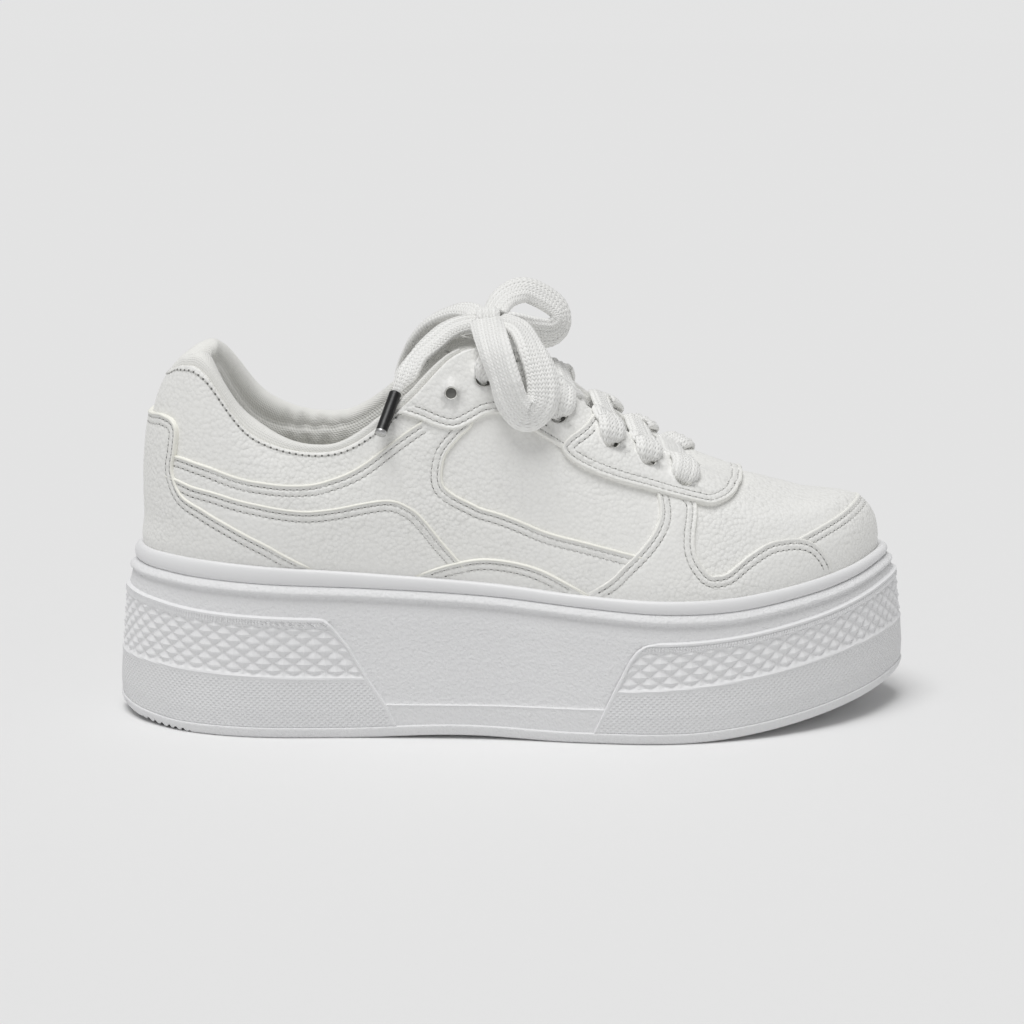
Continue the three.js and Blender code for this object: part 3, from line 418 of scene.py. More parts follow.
    def _look_up(self, table: np.ndarray, u: np.ndarray, s: np.ndarray) -> np.ndarray:
        """Bilinear value of a table of the upper."""
        a = (u % (2 * self.last)) * self.per_rib
        b = np.clip(s, 0, 1) * self.across
        i, j = np.floor(a).astype(int), np.minimum(b.astype(int), self.across - 1)
        f, g = (a - i)[:, None], (b - j)[:, None]
        low = table[i, j] * (1 - f) + table[i + 1, j] * f
        high = table[i, j + 1] * (1 - f) + table[i + 1, j + 1] * f
        return low * (1 - g) + high * g

    def surface(self, u: np.ndarray, s: np.ndarray, out: np.ndarray | float = 0.0) -> np.ndarray:
        """Points on the upper, s of the way from rim to edge and out from its surface."""
        u, s = np.asarray(u, float), np.asarray(s, float)
        p = self._look_up(self.table, u, s)
        n = unit(self._look_up(self.normals, u, s))
        p = p + n * np.broadcast_to(out, len(u))[:, None]
        p[:, 2] += np.minimum(s, 0) * self.rim_drop
        return p + self.relief(u, s)[:, None] * n

    def normal(self, u: np.ndarray, s: np.ndarray) -> np.ndarray:
        """Outward normals of the upper."""
        return unit(self._look_up(self.normals, np.asarray(u, float), np.asarray(s, float)))

    def relief(self, u: np.ndarray, s: np.ndarray) -> np.ndarray:
        """Soft hollows and swellings of worn leather, in millimetres."""
        turned = u % (2 * self.last)
        w = np.minimum(turned, 2 * self.last - turned)
        vamp = smooth(9.6, 10.4, w) * smooth(0.45, 0.62, s) * smooth(1, 0.93, s)
        folds = -0.35 * bump(s - 0.02 * w, 0.52, 0.03) - 0.3 * bump(s + 0.015 * w, 0.86, 0.025)
        quarter = smooth(3.2, 4.2, w) * smooth(6.4, 5.6, w)
        drape = 0.25 * np.sin(7 * s + 2.2 * w) * quarter * smooth(0.3, 0.5, s) * smooth(1, 0.85, s)
        flank = 0.22 * np.sin(3.1 * w + 5 * s) * smooth(0.05, 0.2, s) * smooth(0.75, 0.5, s)
        heel = -1.5 * smooth(3.2, 1.4, w) * smooth(0, 0.18, s)
        return vamp * folds + drape + heel + flank * smooth(6, 7, w) * smooth(10, 9, w)


# ---------------------------------------------------------------------------- shader recipes


class Value:
    """A socket that carries a number. Python's operators on it add Math nodes."""

    def __init__(self, recipe: "Recipe", socket: bpy.types.NodeSocket) -> None:
        """Keeps the recipe and the socket."""
        self.recipe, self.socket = recipe, socket

    def _math(self, operation: str, *terms: "Value | float") -> "Value":
        """A Math node of one operation on these terms."""
        values = {k: t for k, t in enumerate(terms)}
        return self.recipe.node("ShaderNodeMath", {"operation": operation}, values).value()

    def __add__(self, other: "Value | float") -> "Value":
        """Sum."""
        return self._math("ADD", self, other)

    __radd__ = __add__

    def __mul__(self, other: "Value | float") -> "Value":
        """Product."""
        return self._math("MULTIPLY", self, other)

    __rmul__ = __mul__

    def __sub__(self, other: "Value | float") -> "Value":
        """Difference."""
        return self._math("SUBTRACT", self, other)

    def __rsub__(self, other: float) -> "Value":
        """Difference from a number."""
        return self._math("SUBTRACT", other, self)

    def __pow__(self, other: float) -> "Value":
        """Power."""
        return self._math("POWER", self, other)

    def __abs__(self) -> "Value":
        """Size without sign."""
        return self._math("ABSOLUTE", self)

    def sine(self) -> "Value":
        """Sine."""
        return self._math("SINE", self)

    def clamped(self) -> "Value":
        """The value held between 0 and 1."""
        return self._math("MINIMUM", self._math("MAXIMUM", self, 0.0), 1.0)


class Made:
    """A node that a recipe has made."""

    def __init__(self, recipe: "Recipe", node: bpy.types.Node) -> None:
        """Keeps the recipe and the node."""
        self.recipe, self.node = recipe, node

    def value(self, name: str | int = 0) -> Value:
        """One of its outputs as a number."""
        return Value(self.recipe, self.node.outputs[name])

    def out(self, name: str | int = 0) -> bpy.types.NodeSocket:
        """One of its outputs as it is."""
        return self.node.outputs[name]


class Recipe:
    """A material that is written as expressions."""

    def __init__(self, name: str) -> None:
        """Starts an empty material.

        Args:
            name: The material's name.
        """
        self.material = bpy.data.materials.new(name)
        self.material.use_nodes = True
        self.tree = self.material.node_tree
        self.tree.nodes.clear()

    def node(self, kind: str, settings: dict | None = None, inputs: dict | None = None) -> Made:
        """Adds a node.

        Args:
            kind: The node's type.
            settings: Its own properties, which are set first.
            inputs: Values or links by socket name or number.

        Returns:
            The node that was made.
        """
        node = self.tree.nodes.new(kind)
        for key, value in (settings or {}).items():
            setattr(node, key, value)
        for key, value in (inputs or {}).items():
            if isinstance(value, Value):
                value = value.socket
            if isinstance(value, bpy.types.NodeSocket):
                self.tree.links.new(value, node.inputs[key])
            else:
                node.inputs[key].default_value = value
        return Made(self, node)

    def place(self) -> bpy.types.NodeSocket:
        """Position on the shoe, in metres."""
        return self.node("ShaderNodeTexCoord").out("Object")

    def flat(self) -> tuple[Value, Value]:
        """Position on the unrolled piece, in millimetres: along and across."""
        parts = self.node("ShaderNodeSeparateXYZ", None, {0: self.node("ShaderNodeTexCoord").out("UV")})
        return parts.value(0), parts.value(1)

    def mark(self, name: str) -> Value:
        """A number kept on the mesh's points."""
        made = self.node("ShaderNodeAttribute", {"attribute_name": name})
        return made.value("Fac")

    def noise(self, scale: float, detail: float = 3.0, rough: float = 0.55) -> Value:
        """Cloudy noise, scale in cells per metre."""
        inputs = {"Vector": self.place(), "Scale": scale, "Detail": detail, "Roughness": rough}
        return self.node("ShaderNodeTexNoise", None, inputs).value(0)

    def cells(self, scale: float, feature: str = "F1") -> Value:
        """Distance within cells of a pebbled surface, scale in cells per metre."""
        inputs = {"Vector": self.place(), "Scale": scale}
        return self.node("ShaderNodeTexVoronoi", {"feature": feature}, inputs).value("Distance")

    def blend(self, factor: Value, a: tuple, b: tuple) -> bpy.types.NodeSocket:
        """A colour between two colours or links."""
        made = self.node("ShaderNodeMix", {"data_type": "RGBA"}, {0: factor, 6: a, 7: b})
        return made.out(2)

    def relief(self, height: Value, depth: float, under: bpy.types.NodeSocket | None = None,
               ) -> bpy.types.NodeSocket:
        """A normal from a height between 0 and 1 that is depth millimetres deep."""
        inputs = {"Height": height, "Distance": depth * MM, "Strength": 1.0}
        if under is not None:
            inputs["Normal"] = under
        return self.node("ShaderNodeBump", None, inputs).out()

    def finish(self, inputs: dict) -> bpy.types.Material:
        """Ends the recipe with a surface of these inputs."""
        surface = self.node("ShaderNodeBsdfPrincipled", None, inputs)
        self.node("ShaderNodeOutputMaterial", None, {"Surface": surface.out()})
        return self.material


def grey(level: float, warm: float = 0.0) -> tuple[float, float, float, float]:
    """A near-white in linear light; warm pulls the blue down."""
    return (level, level * (1 - warm * 0.1), level * (1 - warm), 1.0)


@dataclass(frozen=True)
class GrainLeather:
    """Tumbled white leather with creamy cut edges, and painted shade in the valleys of its grain."""

    name: str = "grain_leather"
    pebble: float = 720.0
    depth: float = 0.42

    def make(self) -> bpy.types.Material:
        """Builds the material."""
        r = Recipe(self.name)
        cloud = r.noise(28, 2)
        pebble = r.cells(self.pebble)
        wrinkle = 1 - abs(r.noise(300, 4, 0.6) * 2 - 1)
        patch = (r.noise(24, 2) * 2.6 - 0.75).clamped() * 0.75 + 0.25
        edge = r.mark("edge")
        skin = r.blend(cloud, grey(0.875, 0.02), grey(0.91, 0.035))
        # Painted shade: the pebble grain's valleys are darkened in the colour, on top of their bump.
        pebble_valley_shade = (pebble * 1.7 - 0.55).clamped()
        shaded = r.blend(pebble_valley_shade * patch * 0.3, skin, grey(0.66, 0.05))
        colour = r.blend(edge, shaded, grey(0.92, 0.08))
        height = ((1 - pebble ** 1.6) * 0.8 + wrinkle * 0.4) * patch + r.noise(1500, 2) * 0.12
        grain = r.relief(height * (1 - edge * 0.85), self.depth)
        return r.finish({"Base Color": colour, "Roughness": 0.46 + cloud * 0.14, "Normal": grain,
                         "Coat Weight": 0.06, "Coat Roughness": 0.4})


@dataclass(frozen=True)
class SoleRubber:
    """Moulded foam rubber: fine grain, and on the side panels a cross-hatched lower band with painted shade in its
    grooves.
    """

    name: str = "sole_rubber"
    grain: float = 1150.0
    depth: float = 0.42
    hatched: bool = False
    gloss: float = 0.55
    pitch: float = 1.75

    def make(self) -> bpy.types.Material:
        """Builds the material."""
        r = Recipe(self.name)
        cloud = r.noise(18, 2)
        colour = r.blend(cloud, grey(0.79, -0.012), grey(0.83, -0.006))
        fine = r.noise(self.grain, 3) * 0.8 + r.cells(self.grain * 0.6) * 0.4
        normal = r.relief(fine, self.depth)
        if self.hatched:
            along, up = r.flat()
            turn = 2 * math.pi / self.pitch
            a = ((along * 0.82 + up) * turn).sine()
            b = ((along * 0.82 - up) * turn).sine()
            hatch = (a * 0.5 + 0.5) * (b * 0.5 + 0.5) * r.mark("hatch")
            normal = r.relief(hatch, 0.26, normal)
            # Painted shade: the colour darkens in the low grooves of the cross-hatch.
            colour = r.blend((r.mark("hatch") - hatch).clamped() * 0.1, colour, grey(0.6, -0.02))
        return r.finish({"Base Color": colour, "Roughness": self.gloss + cloud * 0.1,
                         "Normal": normal})


@dataclass(frozen=True)
class KnitTextile:
    """Fine knitted lining, with ribs of small loops and painted shade where they sit low."""

    name: str = "knit_textile"
    pitch: float = 0.95
    tone: float = 0.96

    def make(self) -> bpy.types.Material:
        """Builds the material."""
        r = Recipe(self.name)
        along, across = r.flat()
        turn = 2 * math.pi / self.pitch
        rows = (across * turn).sine() * 0.5 + 0.5
        loops = ((along + across * 0.5) * turn * 0.9).sine() * 0.5 + 0.5
        fuzz = r.noise(2600, 4, 0.7)
        height = rows * 0.35 + loops * 0.45 + fuzz * 0.5
        # Painted shade: the colour darkens where the knit's loops and rows sit low.
        colour = r.blend((0.9 - height * 0.8).clamped(), grey(self.tone, 0.035),
                         grey(self.tone * 0.9, 0.05))
        return r.finish({"Base Color": colour, "Roughness": 0.85 + fuzz * 0.1,
                         "Normal": r.relief(height, 0.2), "Sheen Weight": 0.35,
                         "Sheen Roughness": 0.5, "Specular IOR Level": 0.25})


@dataclass(frozen=True)
class BraidedLace:
    """Flat braid: rows of slanted stitches that meet along its ridges, with painted shade where the braid sits low."""

    name: str = "braided_lace"
    stitch: float = 1.45
    course: float = 2.35

    def make(self) -> bpy.types.Material:
        """Builds the material."""
        r = Recipe(self.name)
        along, across = r.flat()
        turn = 2 * math.pi
        column = (across * (turn / self.course)).sine()
        slant = abs(column) * 0.55
        stitches = ((along * (1 / self.stitch) + slant) * turn).sine() * 0.5 + 0.5
        fuzz = r.noise(3000, 3, 0.7)
        height = stitches * 0.6 + abs(column) * 0.4 + fuzz * 0.3
        # Painted shade: the colour darkens where the braid's stitches and ridges sit low.
        colour = r.blend((0.95 - height).clamped() * 0.7, grey(0.96, 0.02), grey(0.84, 0.05))
        return r.finish({"Base Color": colour, "Roughness": 0.7 + fuzz * 0.15,
                         "Normal": r.relief(height, 0.26), "Sheen Weight": 0.3,
                         "Sheen Roughness": 0.4, "Specular IOR Level": 0.3})


@dataclass(frozen=True)
class SewingThread:
    """Off-white twisted thread."""

    name: str = "sewing_thread"
    tone: float = 0.66

    def make(self) -> bpy.types.Material:
        """Builds the material."""
        r = Recipe(self.name)
        twist = r.noise(4200, 2)
        colour = r.blend(twist, grey(self.tone * 0.92, 0.04), grey(self.tone, 0.03))
        return r.finish({"Base Color": colour, "Roughness": 0.6 + twist * 0.2,
                         "Normal": r.relief(twist, 0.04)})


@dataclass(frozen=True)
class PaintedHoleShade:
    """Painted shade: the dark that stands for the shadow inside pierced holes."""

    name: str = "needle_hole"
    tone: float = 0.12

    def make(self) -> bpy.types.Material:
        """Builds the material."""
        r = Recipe(self.name)
        shade_mottle = r.noise(900, 2)
        colour = r.blend(shade_mottle, grey(self.tone, 0.05), grey(self.tone * 1.5, 0.06))
        return r.finish({"Base Color": colour, "Roughness": 0.8 + shade_mottle * 0.15})


@dataclass(frozen=True)
class LacquerTip:
    """Black lacquered lace tip with a bare metal end."""

    name: str = "lacquer_tip"

    def make(self) -> bpy.types.Material:
        """Builds the material."""
        r = Recipe(self.name)
        bare = r.mark("bare")
        scuff = r.noise(700, 3)
        black = r.blend(scuff, grey(0.002), grey(0.005))
        colour = r.blend(bare, black, grey(0.55))
        return r.finish({"Base Color": colour, "Metallic": bare, "Roughness": 0.3 + scuff * 0.16,
                         "Normal": r.relief(scuff, 0.02)})


@dataclass(frozen=True)
class StudioPaper:
    """Pale seamless paper."""

    name: str = "studio_paper"
    tone: float = 0.81

    def make(self) -> bpy.types.Material:
        """Builds the material."""
        r = Recipe(self.name)
        cloud = r.noise(3, 1)
        colour = r.blend(cloud, grey(self.tone), grey(self.tone * 1.004))
        return r.finish({"Base Color": colour, "Roughness": 1.0, "Specular IOR Level": 0.0})


@dataclass
class Finishes:
    """Every finish of the shoe, made once."""

    leather: bpy.types.Material = field(default_factory=lambda: GrainLeather().make())
    rubber: bpy.types.Material = field(default_factory=lambda: SoleRubber().make())
    panel: bpy.types.Material = field(
        default_factory=lambda: SoleRubber("panel_rubber", hatched=True, depth=0.1).make())
    bead: bpy.types.Material = field(
        default_factory=lambda: SoleRubber("bead_rubber", depth=0.015, gloss=0.36).make())
    knit: bpy.types.Material = field(default_factory=lambda: KnitTextile().make())
    lace: bpy.types.Material = field(default_factory=lambda: BraidedLace().make())
    thread: bpy.types.Material = field(default_factory=lambda: SewingThread().make())
    painted_hole_shade: bpy.types.Material = field(default_factory=lambda: PaintedHoleShade().make())
    tip: bpy.types.Material = field(default_factory=lambda: LacquerTip().make())


# ---------------------------------------------------------------------------- making pieces


@dataclass
class Bench:
    """Where pieces are turned into objects that ride on the shoe."""

    form: ShoeForm

    def piece(self, name: str, points: np.ndarray, faces: list, material: bpy.types.Material,
              slot: Slot, stands_for: tuple[str, ...] = (), flat: np.ndarray | None = None,
              marks: dict[str, np.ndarray] | None = None, soft: bool = True) -> bpy.types.Object:
        """Makes one piece of the shoe.

        Args:
            name: The piece's name.
            points: Its points in millimetres, in the form's own frame.
            faces: Its faces as rows of point numbers.
            material: Its finish.
            slot: The record's slot that the finish belongs to.
            stands_for: The frame's nodes that it replaces.
            flat: Position of each point on the unrolled piece, in millimetres.
            marks: Numbers for each point that the finish reads.
            soft: Whether its faces blend into each other; sharp moulding does not.

        Returns:
            The new object.
        """
        mesh = bpy.data.meshes.new(name)
        placed = (np.asarray(points) + self.form.shift) * MM
        mesh.from_pydata(placed.tolist(), [], [tuple(int(k) for k in f) for f in faces])
        mesh.validate()
        mesh.materials.append(material)
        mesh.polygons.foreach_set("use_smooth", [soft] * len(mesh.polygons))
        if flat is not None:
            corner = np.zeros(len(mesh.loops), int)
            mesh.loops.foreach_get("vertex_index", corner)
            mesh.uv_layers.new(name="flat").data.foreach_set("uv", np.asarray(flat)[corner].ravel())
        for key, values in (marks or {}).items():
            layer = mesh.attributes.new(key, "FLOAT", "POINT")
            layer.data.foreach_set("value", np.asarray(values, np.float32))
        made = bpy.data.objects.new(name, mesh)
        bpy.context.scene.collection.objects.link(made)
        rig.ride(made, "root")
        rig.slot(made, slot.value)
        if stands_for:
            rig.replaces(made, *stands_for)
        LOG.info("%s: %d points, %d faces", name, len(points), len(faces))
        return made

    @staticmethod
    def grid(rows: int, columns: int, closed: bool = False, start: int = 0) -> list:
        """Faces of a grid of points that are numbered along its rows.

        Args:
            rows: Number of rows.
            columns: Number of points in a row.
            closed: Whether each row joins up with itself.
            start: Number of the first point.

        Returns:
            Four-sided faces.
        """
        j = np.arange(columns if closed else columns - 1)
        faces = []
        for i in range(rows - 1):
            a, b = start + i * columns + j, start + i * columns + (j + 1) % columns
            faces.append(np.stack([a, b, b + columns, a + columns], axis=1))
        return np.concatenate(faces).tolist()


# ---------------------------------------------------------------------------- sole


@dataclass
class Sole:
    """Outsole with lugs, cup wall, two textured side panels and the rolled bead."""

    form: ShoeForm
    bench: Bench
    finishes: Finishes
    columns: int = 720
    tread_rows: int = 46
    panel_rows: int = 70
    panel_columns: int = 760
    wall_inset: float = 2.0
    tread_thick: float = 3.8
    groove_depth: float = 1.6
    groove_half: float = 1.5
    grooves: tuple = ((-121, -21, 20), (-109, -27, 26), (-73, -33, 30), (-61, -33, 30),
                      (18, -37, 32), (60, -39, 43), (72, -37, 43), (84, -33, 42), (96, -28, 40),
                      (108, -22, 36), (120, -12, 30))
    heel_edge: tuple = ((-67, 42.6), (-64.5, 42.0), (-62, 40), (-56, 32.6), (-49.5, 21.5), (-43, 11.5),
                        (-39.6, 4.2))
    toe_edge: tuple = ((27.7, 4.2), (34.6, 18.9), (39.8, 29.5), (42.4, 33), (45, 34.8), (50.6, 36))
    diamond: tuple[float, float] = (7.25, 4.7)

    def build(self) -> None:
        """Makes every piece of the sole."""
        self.outsole()
        self.wall()
        self.panel("heel_panel", self.heel_edge, about=0, rear=True)
        self.panel("toe_panel", self.toe_edge, about=self.form.rows, rear=False)
        self.bead()

    def ring(self, inset: float, height, further: float = 0.0, columns: int = 0) -> np.ndarray:
        """A closed ring round the sole at a height that a function of x gives."""
        n = columns or self.columns
        at = np.arange(n) * 2 * self.form.rows / n
        plan = self.form.sole(at, np.full(n, inset), further)
        return np.column_stack([plan, height(plan[:, 0])])

    def tread_height(self, p: np.ndarray) -> np.ndarray:
        """Height of the tread at plan points, with its grooves and the teeth at the heel."""
        z = self.form.ground(p[:, 0])
        cut = np.zeros(len(p))
        for x, low, high in self.grooves:
            inside = smooth(low - 0.6, low + 0.6, p[:, 1]) * smooth(high + 0.6, high - 0.6, p[:, 1])
            gap = smooth(self.groove_half + 0.5, self.groove_half - 0.5, np.abs(p[:, 0] - x))
            cut = np.maximum(cut, inside * gap)
        return z + np.maximum(self.groove_depth * cut, self.teeth(p[:, 0]))

    @staticmethod
    def teeth(x: np.ndarray) -> np.ndarray:
        """Depth of the small notches across the bevelled heel."""
        wave = 0.5 + 0.5 * np.sin(2 * np.pi * x / 2.7)
        return 1.5 * smooth(-112, -114, x) * smooth(-133, -130, x) * smooth(0.35, 0.65, wave)

    def outsole(self) -> None:
        """The smooth band at the ground and the tread under it."""
        n, f = self.columns, self.form
        rings = []
        for inset, up in ((7.0, 3.95), (2.2, 3.95), (1.3, 3.9), (1.0, 3.65), (1.02, 3.2), (1.25, 2.3),
                          (1.6, 1.3), (2.3, 0.45), (3.2, 0.0)):
            rings.append(self.ring(inset, lambda x, up=up: f.ground(x) + np.maximum(
                up, self.teeth(x) if up < 2 else 0)))
        edge = rings[-1]
        opposite = edge[(-np.arange(n)) % n]
        for share in np.linspace(0, 0.5, self.tread_rows)[1:]:
            row = edge + (opposite - edge) * share
            row[:, 2] = self.tread_height(row)
            rings.append(row)
        points = np.concatenate(rings)
        faces = Bench.grid(len(rings), n, closed=True)
        self.bench.piece("outsole_rubber", points, faces, self.finishes.rubber, Slot.RUBBER,
                         ("outsole",))

    def wall_stops(self, x: np.ndarray) -> tuple[np.ndarray, np.ndarray]:
        """Heights and insets of the wall's profile over x, from its foot to under the lip."""
        f = self.form
        z = np.stack([f.ground(x) + 4.1, f.ground(x) + 10, f.level("band", x), f.level("panel", x),
                      f.level("lip", x) - 1.6])
        inset = np.array([1.2, 1.0, 1.8, 4.0, 5.6])
        return z, np.repeat(inset[:, None], len(x), axis=1)

    def wall_point(self, at: np.ndarray, z: np.ndarray, out: np.ndarray) -> np.ndarray:
        """Points on the wall at a height, standing out from it."""
        plan0 = self.form.sole(at, np.full(len(at), self.wall_inset))
        zs, insets = self.wall_stops(plan0[:, 0])
        k = np.clip((z[None] > zs).sum(0) - 1, 0, len(zs) - 2)
        i = np.arange(len(at))
        t = (z - zs[k, i]) / (zs[k + 1, i] - zs[k, i])
        soft = np.clip(t, 0, 1.2)
        inset = insets[k, i] + (insets[k + 1, i] - insets[k, i]) * soft
        n = self.form.outline_normal(at)
        share = self.form.side_share + (1 - self.form.side_share) * n[:, 0] ** 2
        plan = self.form.outline_at(at) - n * (inset * share + 1.3 - out)[:, None]
        return np.column_stack([plan, z])

    def wall(self) -> None:
        """The plain wall of the cup with its thin ridge, the lip and the ledge under the bead."""
        n, f = self.columns, self.form
        at = np.arange(n) * 2 * f.rows / n
        x = f.sole(at, np.full(n, self.wall_inset))[:, 0]
        foot, top = f.ground(x) + 3.8, f.level("lip", x) - 1.6
        ridge = np.maximum(12.2, foot + 4)
        rows = []
        for low, high, count in ((foot, ridge - 0.35, 6), (ridge - 0.35, ridge + 0.35, 7),
                                 (ridge + 0.35, top, 34)):
            for share in np.arange(count) / count:
                z = low + (high - low) * share
                step = 0.55 * smooth(0.12, -0.12, z - ridge) + 0.2 * bump(z - ridge, 0, 0.3)
                rows.append(self.wall_point(at, z, step))
        rows.append(self.wall_point(at, top, np.zeros(n)))
        for inset, key, up in ((6.3, "lip", -1.52), (5.7, "lip", -1.3), (5.5, "lip", -0.8),
                               (5.6, "lip", -0.3), (6.1, "lip", 0.05), (7.2, "bead", -0.7),
                               (8.2, "bead", -0.15), (9.6, "bead", 0.1), (11.3, "bead", 0.4)):
            rows.append(self.ring(inset, lambda x, key=key, up=up: f.level(key, x) + up))
        points = np.concatenate(rows)
        self.bench.piece("cup_wall", points, Bench.grid(len(rows), n, closed=True),
                         self.finishes.rubber, Slot.RUBBER, ("midsole",))

    def place_of(self, x: np.ndarray, lateral: bool) -> np.ndarray:
        """Row of the outline at which one side's wall stands over x."""
        at = np.linspace(0.5, self.form.rows - 0.5, 600)
        xs = self.form.outline_at(at if lateral else 2 * self.form.rows - at)[:, 0]
        return np.interp(x, xs, at)

    def panel(self, name: str, edge: tuple, about: int, rear: bool) -> None:
        """One moulded side panel.

        Args:
            name: The panel's node.
            edge: Its slanted edge, as x and height.
            about: Row of the outline in its middle.
            rear: Whether it is the heel's panel.
        """
        f = self.form
        rows, columns = self.panel_rows, self.panel_columns
        edges = np.array(edge, float)
        order = np.argsort(edges[:, 1])
        shares = np.linspace(0, 1, rows)
        t = np.linspace(-1, 1, columns)
        points, flats, hatch = [], [], []
        run = self.run_length()
        low_z = edges[order[0], 1]
        high_z = edges[order[-1], 1]
        for share in shares:
            x_edge = np.interp(low_z + (high_z - low_z) * share, edges[order, 1], edges[order, 0])
            ends = [float(self.place_of(np.array([x_edge]), side)[0]) for side in (True, False)]
            if rear:
                at = np.where(t < 0, -t * -ends[1], t * ends[0])
            else:
                at = np.where(t < 0, about + t * (about - ends[0]), about + t * (about - ends[1]))
            x = f.sole(at, np.full(columns, self.wall_inset))[:, 0]
            foot, top = f.ground(x) + 3.85, f.level("panel", x)
            z = foot + (top - foot) * share
            s = np.interp(at % (2 * f.rows), run[0], run[1])
            s = np.where(at < 0, s - run[1][-1], s)
            from_end = np.abs(x - x_edge) * (0.87 if share < 0.97 else 0.4)
            side_far = (x < x_edge) if rear else (x > x_edge)
            from_end = np.where(side_far, from_end, 0)
            out = self.panel_relief(s, z, x, top, from_end, foot)
            points.append(self.wall_point(at, z, out))
            flats.append(np.column_stack([s, z]))
            band = f.level("band", x)
            hatch.append(smooth(band - 0.6, band - 1.6, z) * smooth(1.0, 2.0, from_end))
        body = np.concatenate(points)
        faces = Bench.grid(rows, columns)
        self.bench.piece(f"{name}_rubber", body, faces, self.finishes.panel, Slot.RUBBER, (name,),
                         np.concatenate(flats), {"hatch": np.concatenate(hatch)}, soft=False)

    def run_length(self) -> tuple[np.ndarray, np.ndarray]:
        """Length run round the outline at its rows."""
        at = np.linspace(0, 2 * self.form.rows, 1041)
        p = self.form.outline_at(at)
        run = np.concatenate([[0], np.cumsum(np.linalg.norm(np.diff(p, axis=0), axis=1))])
        return at, run

    def panel_relief(self, s: np.ndarray, z: np.ndarray, x: np.ndarray, top: np.ndarray,
                     from_end: np.ndarray, foot: np.ndarray) -> np.ndarray:
        """How far a panel's surface stands out from the wall.

        Args:
            s: Length run round the sole.
            z: Height.
            x: Place along the shoe.
            top: Height of the panel's top line.
            from_end: Distance from the slanted edge.
            foot: Height of the panel's foot.

        Returns:
            Millimetres out from the wall, rounded off to it at the panel's edges.
        """
        band = self.form.level("band", x)
        down = top - z
        edge = np.minimum(down, from_end)
        wide, high = self.diamond
        a = s / wide + (z - band) / high
        b = s / wide - (z - band) / high
        pyramid = 1 - np.maximum(np.abs((a % 1) - 0.5), np.abs((b % 1) - 0.5)) * 2
        field_of = smooth(band + 0.5, band + 1.1, z) * smooth(3.4, 3.9, down)
        field_of = field_of * smooth(1.4, 2.0, from_end)
        diamonds = 0.25 + 1.1 * np.clip(pyramid * 1.04, 0, 1)
        ticks = 0.5 + 0.5 * np.sin(2 * np.pi * s / 1.1)
        ticks = ticks * smooth(1.3, 1.6, down) * smooth(3.3, 3.0, down)
        rim = 1.35 * smooth(-0.05, 0.5, edge) * smooth(1.7, 1.1, edge)
        divider = 0.45 * bump(z, band, 0.45) * smooth(1.0, 1.6, from_end)
        base = 0.8 * smooth(0.0, 0.9, edge)
        lower = 0.3 * smooth(band + 0.3, band - 0.4, z)
        floor = (base + lower) * (1 - field_of) + diamonds * field_of
        rise = np.maximum(floor + divider + 0.6 * ticks, rim)
        return rise * smooth(-0.4, 0.2, z - foot) - 0.25 * (edge <= 0.01)

    def bead(self) -> None:
        """The rolled bead round the upper's foot."""
        f = self.form

        def between(share: float):
            """Height this share of the way up the bead."""
            return lambda x: f.level("bead", x) + (f.level("rim", x) - f.level("bead", x)) * share

        profile = ((9.6, -0.02), (8.6, 0.0), (8.0, 0.06), (7.6, 0.17), (7.42, 0.32), (7.42, 0.48),
                   (7.6, 0.64), (8.0, 0.79), (8.6, 0.91), (9.3, 0.975), (9.9, 0.99), (10.6, 0.95),
                   (11.2, 0.84), (11.5, 0.68))
        rows = [self.ring(inset, between(share)) for inset, share in profile]
        self.bench.piece("bead_rubber", np.concatenate(rows),
                         Bench.grid(len(rows), self.columns, closed=True), self.finishes.bead,
                         Slot.RUBBER, ("welt",))


# ---------------------------------------------------------------------------- upper


@dataclass
class PatternPiece:
    """A leather piece stitched on the upper, cut to a closed line.

    The outline is a list of runs. Each run is a list of places (rib, angle) and says whether its
    edge shows and is sewn.
    """

    name: str
    runs: list
    rise: float
    holes: list = field(default_factory=list)
    stands_for: tuple[str, ...] = ()
    rows: tuple[float, ...] = (1.75, 3.85)
    cream: float = 0.35


